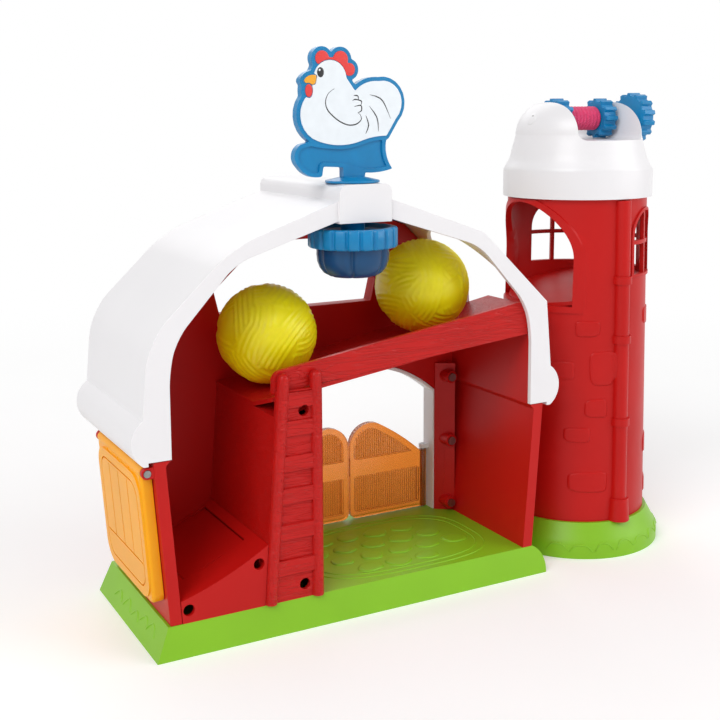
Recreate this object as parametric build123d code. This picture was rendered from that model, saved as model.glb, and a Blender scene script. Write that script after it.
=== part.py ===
from build123d import *
from math import atan, atan2, cos, degrees, hypot, pi, radians, sin, sqrt, tan
import os

# A toy barn with a silo. Sizes are in millimetres. The origin is the centre of the barn's underside.
# +X runs along the barn to the silo, +Y from the open play side to the front, and +Z is up.

# Base
base_left = 122.0
base_right = 121.3
base_depth = 104.4
base_height = 18.2
base_flare_left = 7.6
base_flare_right = 8.8
base_flare_side = 3.0
base_skin = 2.6
cover_thickness = 2.4
cover_gap = 0.2
post_radius = 4.0
screw_radius = 1.5
screw_head_radius = 2.8
screw_head_height = 1.2

# Side walls
wall_foot = 120.7
wall_lean = 4.2
wall_thickness = 6.9
wall_crease = 110.6
wall_plate = 3.0
wall_plate_top = 172.0
exit_width = 69.0
exit_sill = 31.0
exit_head = 98.0
exit_centre = -7.5
exit_corner = 9.0
rib_reach = 11.5
rib_width = 8.6
rib_top = 122.0
boss_radius = 4.2
boss_length = 3.0
boss_heights = (25.0, 69.0, 113.5)

# Facade
liner_y = 35.8
liner_thickness = 2.6
facade_thickness = 10.0
facade_skin = 2.8
facade_gap = 0.4
doorway_centre = 40.5
doorway_half = 62.0
doorway_spring = 102.0
doorway_rise = 23.0
trim_thickness = 2.6
trim_gap = 0.2
trim_flange = 5.0
gable_sill = 169.5
gable_sill_half = 53.5
gable_head = 213.0
gable_head_half = 25.0
gable_shoulder = 184.0
gable_shoulder_half = 57.0

# Ladder column and ball chute
column_right = -28.0
column_left_foot = -64.6
column_left_head = -55.0
column_head = 150.0
column_skin = 2.6
ladder_plate_top = 140.0
rail_radius = 3.5
rail_proud = 3.0
rung_height = 8.6
rung_proud = 1.4
rung_tops = (42.6, 63.2, 84.2, 102.7, 122.8, 139.0)
chute_low = 31.0
chute_high = 53.7
chute_sag = 2.2
chute_skin = 2.6
hole_radius = 3.3
hole_depth = 6.0
press_x = -86.0
press_y = 1.0
press_length = 40.0
press_width = 62.0
press_thickness = 2.6
press_gap = 0.5
press_travel = 1.5
press_stem = 5.0
press_guide = 2.0

# Ramp
ramp_middle_height = 138.7
ramp_slope = 0.186
ramp_start = -57.0
ramp_barn_end = 117.0
ramp_thickness = 2.6
ramp_flat_half = 22.0
ramp_tongue_half = 33.0
ramp_wing_start = 8.4
ramp_rail_thickness = 2.8
rail_start_top = 150.4
rail_end_top = 176.6
rail_start_bottom = 138.4
rail_end_bottom = 155.3

# Balls
ball_radius = 30.0
ball_lift = 0.3
ball_way_radius = 33.5
lower_ball_x = -38.0
upper_ball_x = 70.7

# Roof
roof_near = -52.7
roof_far = 53.8
roof_skin = 2.6
roof_band = 3.0
roof_neck_half = 132.9
roof_neck = 134.0
roof_eave_half = 129.1
roof_eave = 175.4
roof_break_half = 81.3
roof_break = 221.0
roof_peak = 249.5
band_half = 117.5
band_eave_half = 113.0
band_eave = 175.2
band_break_half = 78.5
band_break = 213.0
band_peak = 237.6
lip_bottom = 109.0
lip_half = 139.4
lip_middle = 119.0
ridge_half = 16.7
ridge_top = 252.6
ridge_bottom = 231.0
ridge_near = -54.4
ridge_round = 5.0

# Silo
silo_x = 194.3
silo_foot_radius = 49.0
silo_head_radius = 46.1
silo_foot = 22.0
silo_head = 240.0
silo_skin = 2.6
silo_base_radius = 58.6
silo_base_shoulder = 51.0
silo_base_side = 8.0
tongue_near = 8.0
tongue_far = 34.0
tongue_height = 12.0
tongue_reach = 6.0
port_half = 36.2
port_sill = 166.0
port_head = 233.0
port_frame = 4.0
port_frame_proud = 1.2
window_half = 17.0
window_sill = 185.6
window_head = 227.0
window_angles = (-57.0, 5.0, 72.0)
mullion = 2.6
silo_floor_thickness = 2.6
pipe_radius = 5.2
pipe_ring_radius = 6.4
pipe_ring_height = 5.0
pipe_ring_heights = (89.0, 144.0, 183.0)
pipe_foot_height = 15.0

# Silo cap
cap_rim_radius = 49.5
cap_rim_bottom = 235.6
cap_rim_top = 256.0
cap_shoulder_radius = 45.4
cap_shoulder = 261.0
cap_dome_radius = 41.6
cap_dome = 276.0
cap_top = 300.0
cap_skin = 2.6
cap_gap = 0.3
valley_half = 26.3
valley_floor = 272.9
valley_round = 5.0

# Hoist
hoist_height = 287.0
axle_radius = 2.5
running_gap = 0.06
wheel_radius = 13.3
wheel_root = 11.2
wheel_width = 10.0
wheel_offset = 18.5
wheel_teeth = 12
drum_radius = 7.6
crank_radius = 17.0
crank_root = 15.0
crank_width = 9.5
crank_gap = 0.4
crank_teeth = 14
axle_head_radius = 4.2
axle_head = 1.6

# Weather vane
vane_y = -38.2
spindle_radius = 3.0
fit_gap = 0.05
vane_lift = 0.3
impeller_rim_radius = 28.7
impeller_rim_top = 227.8
impeller_rim_bottom = 217.0
impeller_bell_top = 215.0
impeller_bell_radius = 22.5
impeller_tip_radius = 13.2
impeller_bottom = 198.5
impeller_flutes = 18
flute_radius = 2.3
sleeve_radius = 6.0
foot_radius = 15.6
foot_height = 3.2
foot_rim = 1.2
foot_hub = 7.0
rooster_thickness = 5.0

# Exit door
door_width = 78.5
door_centre = -8.0
door_bottom = 30.0
door_thickness = 6.4
door_gap = 0.4
door_corner = 12.0
door_pin_radius = 2.0
door_hinge_height = 105.0
door_lug = 3.6
door_groove = 0.7
door_planks = 4

# Swing leaves
leaf_thickness = 4.0
leaf_y = 44.5
leaf_foot_gap = 1.0
leaf_hinge_height = 59.5
leaf_meeting_height = 72.0
leaf_peak_height = 84.5
leaf_peak_offset = 18.0
leaf_gap = 0.5
leaf_jamb_gap = 0.5
leaf_barrel = 2.6
leaf_pin = 1.4
leaf_border = 4.0
leaf_panel = 1.0
leaf_lug = 3.0

near_face = -base_depth / 2
lean = tan(radians(wall_lean))
liner_back = liner_y + liner_thickness
facade_front = liner_y + facade_thickness
ramp_tilt = degrees(atan(ramp_slope))
ramp_rail_y = roof_near + roof_band + facade_gap


def save(node, shape):
    shape.label = node
    export_step(shape, f"parts/{node}.step")


def wall_outer(height):
    """Half width of the side wall's outer face at a height."""
    return wall_foot + (height - base_height) * lean


def ramp_floor(x):
    """Height of the middle of the ramp's floor."""
    return ramp_middle_height + ramp_slope * x


def column_left(height):
    """X of the ladder column's left edge, which leans like the walls."""
    share = (height - base_height) / (column_head - base_height)
    return column_left_foot + (column_left_head - column_left_foot) * share


def silo_radius(height):
    share = (height - silo_foot) / (silo_head - silo_foot)
    return silo_foot_radius + (silo_head_radius - silo_foot_radius) * share


def slab(face, low, high):
    """Outline drawn as X and Z, extruded from Y = low to Y = high."""
    return extrude(Plane.XZ.offset(-high) * face, amount=high - low)


def rail(face, low, high):
    """Outline drawn as Y and Z, extruded from X = low to X = high."""
    return extrude(Plane.YZ.offset(low) * face, amount=high - low)


def polygon(points):
    return make_face(Polyline(*points, close=True))


def box(x, y, z):
    """Box between two values on each axis."""
    middle = [(low + high) / 2 for low, high in (x, y, z)]
    return Pos(*middle) * Box(*[high - low for low, high in (x, y, z)])


def rod(start, end, radius):
    """Round bar between two points."""
    path = Vector(*end) - Vector(*start)
    plane = Plane(origin=start, z_dir=path)
    return plane * Cylinder(radius, path.length, align=(Align.CENTER, Align.CENTER, Align.MIN))


def turned(points, centre=(0.0, 0.0)):
    """Profile drawn as radius and height, turned about an upright axis."""
    face = Plane.XZ * polygon(points)
    return Pos(*centre, 0) * revolve(face, Axis.Z)


def arch(half, sill, head):
    """Upright opening with a half round head."""
    spring = head - half
    foot = Line((-half, spring), (-half, sill)) + Line((-half, sill), (half, sill)) + Line((half, sill), (half, spring))
    return make_face(foot + ThreePointArc((half, spring), (0, head), (-half, spring)))


def toothed(radius, root, teeth, width):
    """Wheel with blunt teeth, drawn flat and extruded along its axle."""
    step = 2 * pi / teeth
    points = []
    for tooth in range(teeth):
        for turn, reach in ((-0.30, root), (-0.17, radius), (0.17, radius), (0.30, root)):
            angle = (tooth + turn) * step
            points.append((reach * cos(angle), reach * sin(angle)))
    return extrude(polygon(points), amount=width / 2, both=True)


# Base and its cover

def base_block(inset, top, low):
    """Tapered block of the barn's base, drawn in from its outside by an inset."""
    side = make_face(
        Polyline((base_right - inset, top), (-base_left + inset, top),
                 (-base_left - base_flare_left + inset, low), (base_right + base_flare_right - inset, low))
        + ThreePointArc((base_right + base_flare_right - inset, low),
                        (base_right + base_flare_right * 0.8 - inset, (top + low) * 0.62),
                        (base_right - inset, top)))
    half = base_depth / 2 - inset
    end = polygon([(-half, top), (half, top), (half + base_flare_side, low), (-half - base_flare_side, low)])
    length = base_left + base_flare_left
    return slab(side, -base_depth, base_depth) & rail(end, -2 * length, 2 * length)


def tongue(gap):
    """Tongue of the silo's base that holds it to the barn's base."""
    reach = base_right - tongue_reach
    return box((reach, silo_x - silo_base_shoulder), (tongue_near - gap, tongue_far + gap),
               (cover_thickness + 1.0 - gap, tongue_height + gap))


post_places = [(x, y) for x in (-base_left + 14, 0, base_right - 16) for y in (-38.0, 38.0)]


def barn_base():
    body = base_block(0, base_height, 0) - base_block(base_skin, base_height - base_skin, -base_skin)
    for x, y in post_places:
        post = Pos(x, y, cover_thickness) * Cylinder(
            post_radius, base_height - base_skin - cover_thickness,
            align=(Align.CENTER, Align.CENTER, Align.MIN))
        hole = Pos(x, y, 0) * Cylinder(screw_radius + fit_gap, base_height - 2 * base_skin,
                                       align=(Align.CENTER, Align.CENTER, Align.MIN))
        body = body + post - hole
    return body - tongue(trim_gap)


def base_cover():
    body = base_block(base_skin + cover_gap, base_height - base_skin, -base_skin)
    body &= box((-2 * base_left, 2 * base_right), (-base_depth, base_depth), (0, cover_thickness))
    for x, y in post_places:
        body -= Pos(x, y, 0) * Cylinder(screw_radius + fit_gap, 3 * cover_thickness)
        body -= Pos(x, y, 0) * Cylinder(screw_head_radius + fit_gap, screw_head_height * 2)
    return body


def screw(plane, length):
    """Round headed screw whose head's top lies on the plane, pointing against its normal."""
    down = (Align.CENTER, Align.CENTER, Align.MAX)
    return plane * (Cylinder(screw_head_radius, screw_head_height, align=down)
                    + Cylinder(screw_radius, length, align=down))


def silo_base():
    outline = [(0, 0), (silo_base_radius, 0), (silo_base_radius, silo_base_side),
               (silo_base_shoulder, silo_foot), (0, silo_foot)]
    inner = [(0, -1), (silo_base_radius - base_skin, -1), (silo_base_radius - base_skin, silo_base_side - 1),
             (silo_base_shoulder - base_skin, silo_foot - base_skin), (0, silo_foot - base_skin)]
    body = turned(outline) - turned(inner)
    for x, y in silo_post_places:
        body += Pos(x, y, cover_thickness) * Cylinder(
            post_radius, silo_foot - base_skin - cover_thickness,
            align=(Align.CENTER, Align.CENTER, Align.MIN))
        body -= Pos(x, y, 0) * Cylinder(screw_radius + fit_gap, silo_foot - 2 * base_skin,
                                        align=(Align.CENTER, Align.CENTER, Align.MIN))
    return Pos(silo_x, 0, 0) * body + tongue(0) - base_block(0, base_height, 0) \
        + (tongue(0) & base_block(0, base_height, 0))


silo_post_places = [(30.0 * cos(radians(a)), 30.0 * sin(radians(a))) for a in (90, 210, 330)]


def silo_cover():
    body = Cylinder(silo_base_radius - base_skin - cover_gap, cover_thickness,
                    align=(Align.CENTER, Align.CENTER, Align.MIN))
    for x, y in silo_post_places:
        body -= Pos(x, y, 0) * Cylinder(screw_radius + fit_gap, 3 * cover_thickness)
        body -= Pos(x, y, 0) * Cylinder(screw_head_radius + fit_gap, screw_head_height * 2)
    return Pos(silo_x, 0, 0) * body


def base_screws(places, centre):
    down = Plane(origin=(0, 0, 0), z_dir=(0, 0, -1))
    screws = [Pos(centre + x, y, 0) * screw(down, base_height - 3 * base_skin) for x, y in places]
    return Compound(screws)


# Roof

def roof_profile(bottom):
    half = [(roof_neck_half, bottom), (roof_neck_half, roof_neck), (roof_eave_half, roof_eave),
            (roof_break_half, roof_break), (0, roof_peak)]
    return polygon(half + [(-x, z) for x, z in reversed(half[:-1])])


def band_opening():
    """The flat end band's inner edge, down past its foot."""
    half = [(roof_neck_half - roof_skin, lip_bottom - 1), (roof_neck_half - roof_skin, wall_crease + facade_gap),
            (band_half, wall_crease + facade_gap), (band_half, 158.0), (band_eave_half, band_eave),
            (band_break_half, band_break), (0, band_peak)]
    return polygon(half + [(-x, z) for x, z in reversed(half[:-1])])


def ball_way(start, end, radius):
    """Round tunnel along the ramp, with a flat floor, wide enough for the ball."""
    low = ramp_floor(start) - ramp_thickness - facade_gap
    centre = ramp_floor(start) + ball_radius + ball_lift
    face = Pos(0, centre) * Circle(radius) + Pos(0, (low + centre) / 2) * Rectangle(2 * radius, centre - low)
    run = end - start
    return extrude(Plane.YZ.offset(start) * face, amount=hypot(run, run * ramp_slope), dir=(1, 0, ramp_slope))


def roof_lip():
    inner = roof_neck_half - roof_skin
    edge = Line((inner, lip_bottom), (roof_neck_half, lip_bottom)) \
        + ThreePointArc((roof_neck_half, lip_bottom), (lip_half, lip_middle), (roof_neck_half, roof_neck)) \
        + Line((roof_neck_half, roof_neck), (inner, roof_neck)) + Line((inner, roof_neck), (inner, lip_bottom))
    bar = slab(make_face(edge), roof_near, roof_far)
    return bar + mirror(bar, Plane.YZ)


def ridge_block():
    half, low, high, corner = ridge_half, ridge_bottom, ridge_top, ridge_round
    edge = Polyline((half, high - corner), (half, low), (-half, low), (-half, high - corner)) \
        + ThreePointArc((-half, high - corner), (-half + 0.3 * corner, high - 0.3 * corner), (-half + corner, high)) \
        + Line((-half + corner, high), (half - corner, high)) \
        + ThreePointArc((half - corner, high), (half - 0.3 * corner, high - 0.3 * corner), (half, high - corner))
    body = slab(make_face(edge), ridge_near, roof_far)
    return body - Pos(0, vane_y, ridge_top) * Cylinder(spindle_radius + running_gap, 4 * ridge_half)


def roof():
    shell = roof_profile(lip_bottom) - offset(roof_profile(lip_bottom - 3 * roof_skin), -roof_skin,
                                              kind=Kind.INTERSECTION)
    bands = roof_profile(lip_bottom) - band_opening()
    body = slab(shell, roof_near, roof_far)
    body += slab(bands, roof_near, roof_near + roof_band) + slab(bands, roof_far - roof_band, roof_far)
    body += roof_lip()
    body -= ball_way(roof_break_half - ball_radius, silo_x - ball_radius, ball_way_radius)
    body -= Pos(0, vane_y, ridge_top) * Cylinder(spindle_radius + running_gap, 4 * ridge_half)
    return body + ridge_block()


# Side walls

def wall_profile():
    """Leaning wall with a thin plate above its crease, drawn for the right side."""
    foot, crease = base_height, wall_crease
    plate = band_half + trim_gap
    return polygon([(wall_foot, foot), (wall_outer(crease), crease), (plate + wall_plate, crease),
                    (plate + wall_plate, wall_plate_top), (plate, wall_plate_top), (plate, crease),
                    (wall_outer(crease) - wall_thickness, crease - 3.0), (wall_foot - wall_thickness, foot)])


def side_wall():
    body = slab(wall_profile(), near_face, liner_y)
    behind = box((0, 2 * wall_foot), (near_face - 1, ramp_rail_y), (wall_crease, 2 * wall_crease))
    return body - behind


def left_wall():
    body = mirror(side_wall(), Plane.YZ)
    hole = Pos(exit_centre, (exit_sill + exit_head) / 2) * RectangleRounded(
        exit_width, exit_head - exit_sill, exit_corner)
    body -= rail(hole, -2 * wall_foot, -wall_foot / 2)
    return body + door_lugs()


def corner_rib():
    """Upright rib in the corner by the doorway, with bosses for the facade's screws."""
    low, edge = base_height, wall_foot - wall_thickness + 1
    inner = edge - rib_reach
    face = polygon([(edge, liner_y - rib_width), (edge, liner_y), (inner, liner_y), (inner, liner_y - 1.0)])
    body = Pos(0, 0, low) * extrude(face, amount=rib_top - low)
    for height in boss_heights:
        body += rod((boss_x, liner_y - rib_width - boss_length, height), (boss_x, liner_y, height), boss_radius)
    return body


boss_x = wall_foot - wall_thickness + 1 - boss_radius - 0.6


def right_wall():
    body = side_wall() + corner_rib()
    for height in boss_heights:
        body -= rod((boss_x, 0, height), (boss_x, liner_y + 1, height), screw_radius + fit_gap)
    return body - ball_way(roof_break_half, silo_x - ball_radius, ball_way_radius)


def corner_screws():
    screws = []
    for height in boss_heights:
        seat = Plane(origin=(boss_x, liner_y - rib_width - boss_length - screw_head_height, height), z_dir=(0, -1, 0))
        screws.append(screw(seat, screw_head_height + boss_length + rib_width / 2))
    return Compound(screws)


# Facade

def facade_outline():
    foot = wall_foot - facade_gap
    wide = roof_neck_half - roof_skin - facade_gap
    block = polygon([(foot, base_height), (wall_outer(wall_crease) - facade_gap, wall_crease),
                     (wide, wall_crease + 1.0), (wide, 2 * roof_peak), (-wide, 2 * roof_peak),
                     (-wide, wall_crease + 1.0), (-wall_outer(wall_crease) + facade_gap, wall_crease),
                     (-foot, base_height)])
    inside = block & offset(roof_profile(-base_height), -roof_skin - facade_gap, kind=Kind.INTERSECTION)
    return inside - Pos(0, ridge_top) * Rectangle(2 * (ridge_half + facade_gap),
                                                  2 * (ridge_top - ridge_bottom + facade_gap))


def doorway(grow):
    """Doorway outline, grown outwards by a wall and a gap."""
    half, spring = doorway_half + grow, doorway_spring
    top = spring + doorway_rise + grow
    sides = Polyline((-half, spring), (-half, 0), (half, 0), (half, spring))
    return Pos(doorway_centre, 0) * make_face(sides + ThreePointArc((half, spring), (0, top), (-half, spring)))


def gable_opening():
    half = [(gable_sill_half, gable_sill), (gable_shoulder_half, gable_shoulder), (gable_head_half, gable_head)]
    return polygon(half + [(-x, z) for x, z in reversed(half)])


def pierced():
    return facade_outline() - doorway(trim_thickness + trim_gap) - gable_opening()


def liner():
    return slab(pierced(), liner_y, liner_back)


def facade():
    frame = pierced() - offset(facade_outline(), -facade_skin)
    gable = offset(gable_opening(), facade_skin) - gable_opening()
    return slab(pierced(), facade_front - facade_skin, facade_front) \
        + slab(frame + gable, liner_back, facade_front)


def door_trim():
    sleeve = slab(doorway(trim_thickness) - doorway(0), liner_y, facade_front + trim_thickness)
    flange = slab(doorway(trim_thickness + trim_flange) - doorway(0), facade_front, facade_front + trim_thickness)
    body = (sleeve + flange) & box((-wall_foot, wall_foot), (0, base_depth), (base_height, roof_peak))
    for side in (-1, 1):
        place = leaf_axis(side)
        edge = doorway_centre + side * (doorway_half + 1)
        top = leaf_hinge_height + leaf_foot_gap
        body += box(sorted((place, edge)), (leaf_y - leaf_barrel, leaf_y + leaf_barrel), (top, top + leaf_lug))
        body += Pos(place, leaf_y, top + leaf_lug / 2) * Cylinder(leaf_barrel, leaf_lug)
        body -= Pos(place, leaf_y, top + leaf_lug / 2) * Cylinder(leaf_pin + fit_gap, 2 * leaf_lug)
    return body


# Ladder column, chute and press plate

def column_profile(inset, top_gap):
    left, right = inset, column_right - inset
    top = [(column_left(ramp_floor(column_left_head)) + left, ramp_floor(column_left_head)), (right, ramp_floor(right))]
    top = [(x, z - ramp_thickness - top_gap) for x, z in top]
    return polygon([(column_left(base_height) + left, base_height), (right, base_height), top[1], top[0]])


def ladder_column():
    body = slab(column_profile(0, facade_gap), near_face, liner_y)
    hollow = column_profile(column_skin, column_skin + facade_gap)
    body -= slab(hollow, near_face + column_skin, liner_y - column_skin)
    body -= slab(Pos(0, -base_height / 2) * hollow, near_face + column_skin, liner_y - column_skin)
    plate = polygon([(column_left(base_height), base_height), (column_right, base_height),
                     (column_right, ladder_plate_top), (column_left(ladder_plate_top), ladder_plate_top)])
    body += slab(plate, near_face, ramp_rail_y - facade_gap)
    body += ladder()
    for x, z in ((column_right - 11.8, 26.2), (column_right - 11.5, 127.9)):
        body -= rod((x, near_face - rung_proud - 1, z), (x, near_face + hole_depth, z), hole_radius)
    return body


def ladder():
    """Two half round rails and the plank rungs between them."""
    depth = near_face - rail_proud + rail_radius
    rails = []
    for low, high in ((column_left(base_height) + rail_radius, column_left(column_head) + rail_radius),
                      (column_right - rail_radius, column_right - rail_radius)):
        rails.append(rod((low, depth, base_height), (high, depth, column_head - rail_radius), rail_radius)
                     + Pos(high, depth, column_head - rail_radius) * Sphere(rail_radius))
    body = rails[0] + rails[1] - box((-wall_foot, 0), (ramp_rail_y - facade_gap, 0), (base_height, roof_peak))
    for top in rung_tops:
        body += box((column_left(top) + rail_radius, column_right - rail_radius),
                    (near_face - rung_proud, near_face + 1), (top - rung_height, top))
    return body & box((-wall_foot, 0), (2 * near_face, 0), (base_height, roof_peak))


def chute_profile(inset):
    """Block under the ball's slide, from the left wall to the ladder column."""
    def inner(z):
        return -(wall_outer(z) - wall_thickness) + trim_gap
    low, high = chute_low - inset, chute_high - inset
    left, right = inner(low) + inset, column_left(high) - trim_gap - inset
    middle = ((left + right) / 2, (low + high) / 2 - chute_sag)
    sides = Polyline((left, low), (inner(base_height) + inset, base_height - 2 * inset),
                     (column_left(base_height) - trim_gap - inset, base_height - 2 * inset), (right, high))
    return make_face(sides + ThreePointArc((right, high), middle, (left, low)))


chute_run = column_left(chute_high) + wall_outer(chute_low) - wall_thickness
chute_tilt = degrees(atan2(chute_high - chute_low, chute_run))
press_height = chute_low + (press_x + wall_outer(chute_low) - wall_thickness) / chute_run \
    * (chute_high - chute_low) - chute_sag
press_plane = Plane(origin=(press_x, press_y, press_height), x_dir=(cos(radians(chute_tilt)), 0, sin(radians(chute_tilt))),
                    z_dir=(-sin(radians(chute_tilt)), 0, cos(radians(chute_tilt))))


def chute():
    body = slab(chute_profile(0), near_face, liner_y)
    body -= slab(chute_profile(chute_skin), near_face + chute_skin, liner_y - chute_skin)
    pocket = Box(press_length + 2 * press_gap, press_width + 2 * press_gap, 4 * press_thickness)
    body -= press_plane * pocket
    seat = press_plane * Pos(0, 0, -press_thickness - press_travel - press_gap) * Box(
        press_length + 6, press_width + 6, press_guide, align=(Align.CENTER, Align.CENTER, Align.MAX))
    legs = slab(chute_profile(0), near_face, liner_y)
    seat -= press_plane * Cylinder(press_stem + running_gap, 60)
    body += seat & legs
    for x, z in ((-110.6 + 0.6, 25.4), (-68.1, 43.4)):
        body -= rod((x, near_face - 1, z), (x, near_face + hole_depth, z), hole_radius)
    return body


def chute_plate():
    plate = Box(press_length, press_width, press_thickness, align=(Align.CENTER, Align.CENTER, Align.MAX))
    stem = Cylinder(press_stem, press_thickness + press_travel + press_gap + press_guide + 0.5,
                    align=(Align.CENTER, Align.CENTER, Align.MAX))
    return press_plane * (plate + stem)


# Ramp

ramp_end = silo_x - silo_radius(port_sill) - port_frame_proud - facade_gap


def ramp_section(x, wing, rim):
    """Gutter section of the ramp: a flat middle with a near wing that rises to the rail."""
    low = ramp_floor(x) - ramp_thickness
    points = [(rim, low + wing), (-ramp_flat_half, low), (liner_y, low), (liner_y, low + ramp_thickness),
              (-ramp_flat_half, low + ramp_thickness), (rim, low + ramp_thickness + wing)]
    return Plane.YZ.offset(x) * polygon(points)


def ramp():
    rim = ramp_rail_y + 0.5
    body = loft([ramp_section(ramp_start, ramp_wing_start, rim), ramp_section(ramp_barn_end, 0, rim)], ruled=True)
    tongue_start = ramp_barn_end - 1
    low, high = ramp_floor(tongue_start), ramp_floor(ramp_end)
    strip = polygon([(tongue_start, low - ramp_thickness), (ramp_end, high - ramp_thickness), (ramp_end, high),
                     (tongue_start, low)])
    body += slab(strip, -ramp_tongue_half, min(ramp_tongue_half, liner_y))
    slope = (rail_end_top - rail_start_top) / (ramp_barn_end - ramp_start)
    round_end = 5.0
    edge = Line((ramp_start, rail_start_bottom), (ramp_barn_end, rail_end_bottom)) \
        + Line((ramp_barn_end, rail_end_bottom), (ramp_barn_end, rail_end_top)) \
        + Line((ramp_barn_end, rail_end_top), (ramp_start + round_end, rail_start_top + slope * round_end)) \
        + ThreePointArc((ramp_start + round_end, rail_start_top + slope * round_end),
                        (ramp_start + 0.25 * round_end, rail_start_top - 0.3 * round_end),
                        (ramp_start, rail_start_top - round_end)) \
        + Line((ramp_start, rail_start_top - round_end), (ramp_start, rail_start_bottom))
    return body + slab(make_face(edge), ramp_rail_y, ramp_rail_y + ramp_rail_thickness)


# Silo

def silo_tube(inset, low, high):
    return [(silo_radius(low) - inset, low), (silo_radius(high) - inset, high)]


def silo_tunnel(angle, face, start=0.0):
    """Cut through the silo's wall at an angle from +X."""
    turn = radians(angle)
    plane = Plane(origin=(silo_x + start * cos(turn), start * sin(turn), 0), x_dir=(-sin(turn), cos(turn), 0),
                  z_dir=(cos(turn), sin(turn), 0))
    return extrude(plane * face, amount=silo_base_radius - start)


def silo_shell():
    outer = silo_tube(0, silo_foot, silo_head)
    inner = silo_tube(silo_skin, silo_foot, silo_head)
    centre = (silo_x, 0)
    body = turned([outer[0], outer[1], inner[1], inner[0]], centre)
    proud = silo_tube(-port_frame_proud, silo_foot, cap_rim_bottom - 1)
    ring = turned([proud[0], proud[1], (inner[1][0], cap_rim_bottom - 1), inner[0]], centre)
    body += ring & silo_tunnel(180, arch(port_half + port_frame, port_sill - port_frame, port_head + port_frame))
    body -= silo_tunnel(180, arch(port_half, port_sill, port_head))
    for angle in window_angles:
        frame = arch(window_half + 2, window_sill - 2, window_head + 2)
        body += ring & silo_tunnel(angle, frame)
        body -= silo_tunnel(angle, arch(window_half, window_sill, window_head))
        cross = Pos(0, (window_sill + window_head) / 2) * (
            Rectangle(mullion, window_head - window_sill + 2) + Rectangle(2 * window_half + 2, mullion))
        tube = turned([outer[0], outer[1], inner[1], inner[0]], centre)
        body += tube & silo_tunnel(angle, cross)
    return body + downpipe(inner)


def downpipe(inner):
    """Half round rain pipe on the near side, with its rings and foot."""
    low, high = silo_foot, cap_rim_bottom - 1
    start, end = (silo_x, -silo_radius(low), low), (silo_x, -silo_radius(high), high)
    body = rod(start, end, pipe_radius)
    for height in pipe_ring_heights:
        body += Pos(silo_x, -silo_radius(height), height) * Cylinder(pipe_ring_radius, pipe_ring_height)
    body += Pos(silo_x, -silo_radius(low), low) * Cone(
        pipe_ring_radius + 1, pipe_ring_radius, pipe_foot_height, align=(Align.CENTER, Align.CENTER, Align.MIN))
    core = turned([(0, low - 1), (inner[0][0] + 0.5, low - 1), (inner[1][0] + 0.5, high + 1), (0, high + 1)], (silo_x, 0))
    return body - core - box((0, 2 * silo_x), (-2 * silo_base_radius, 0), (0, silo_foot))


def silo_floor():
    """Sloping floor inside the silo that sends the ball out of the port."""
    left = silo_x - silo_radius(port_sill) + silo_skin + trim_gap
    reach = silo_radius(port_sill) - silo_skin - trim_gap
    low = ramp_floor(left)
    high = ramp_floor(silo_x + reach)
    strip = polygon([(left, low - silo_floor_thickness), (silo_x + reach, high - silo_floor_thickness),
                     (silo_x + reach, high), (left, low)])
    column = silo_tube(silo_skin + trim_gap, silo_foot, silo_head)
    inside = turned([(0, silo_foot), column[0], column[1], (0, silo_head)], (silo_x, 0))
    body = slab(strip, -2 * reach, 2 * reach) & inside
    legs = slab(polygon([(left, silo_foot), (silo_x + reach, silo_foot), (silo_x + reach, high - 1), (left, low - 1)]),
                -silo_floor_thickness / 2, silo_floor_thickness / 2)
    return body + (legs & inside)


# Silo cap

def dome(inset, foot):
    """Half section of the cap's outside, drawn in by an inset."""
    rim, shoulder = cap_rim_radius - inset, cap_shoulder_radius - inset
    top = cap_top - inset
    dome_radius = cap_dome_radius - inset
    edge = Polyline((0, foot), (rim, foot), (rim, cap_rim_top - 3), (shoulder, cap_shoulder),
                    (dome_radius, cap_dome)) \
        + ThreePointArc((dome_radius, cap_dome), (0.87 * dome_radius, cap_dome + 0.62 * (top - cap_dome)),
                        (0.6 * dome_radius, cap_dome + 0.93 * (top - cap_dome))) \
        + Polyline((0.6 * dome_radius, cap_dome + 0.93 * (top - cap_dome)), (0, top), (0, foot))
    return revolve(Plane.XZ * make_face(edge), Axis.Z)


def valley(grow):
    width, low = 2 * (valley_half + grow), valley_floor - grow
    face = Pos(0, low + cap_top / 2) * RectangleRounded(width, cap_top, valley_round + grow)
    return slab(face, -2 * cap_rim_radius, 2 * cap_rim_radius)


def silo_cap():
    body = dome(0, cap_rim_bottom) - valley(0)
    seat = silo_radius(silo_head) + cap_gap
    hollow = dome(cap_skin + cap_rim_radius - seat - cap_skin, cap_rim_bottom - 1)
    inner = dome(cap_skin, cap_rim_bottom - 1) & Cylinder(seat - cap_skin, 4 * cap_top)
    body -= inner - valley(cap_skin)
    body -= hollow & Cylinder(seat, 2 * silo_head)
    body -= rod((-cap_rim_radius, 0, hoist_height), (cap_rim_radius, 0, hoist_height), axle_radius + running_gap)
    return Pos(silo_x, 0, 0) * body


# Hoist

dome_slope = (cap_shoulder_radius - cap_dome_radius) / (cap_dome - cap_shoulder)
crank_inner = cap_dome_radius + dome_slope * (cap_dome - hoist_height + crank_radius) + crank_gap
crank_offset = crank_inner + crank_width / 2
axle_left = -cap_dome_radius - 1.0


def on_axle(shape, along):
    return Pos(silo_x + along, 0, hoist_height) * Rot(0, 90, 0) * shape


def hoist_axle():
    length = crank_offset + crank_width / 2 - axle_left
    body = on_axle(Cylinder(axle_radius, length, align=(Align.CENTER, Align.CENTER, Align.MIN)), axle_left)
    return body + on_axle(Cylinder(axle_head_radius, axle_head), axle_left - axle_head / 2)


def hoist_wheel(side):
    wheel = toothed(wheel_radius, wheel_root, wheel_teeth, wheel_width)
    return on_axle(wheel - Cylinder(axle_radius + fit_gap, 2 * wheel_width), side * wheel_offset)


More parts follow.
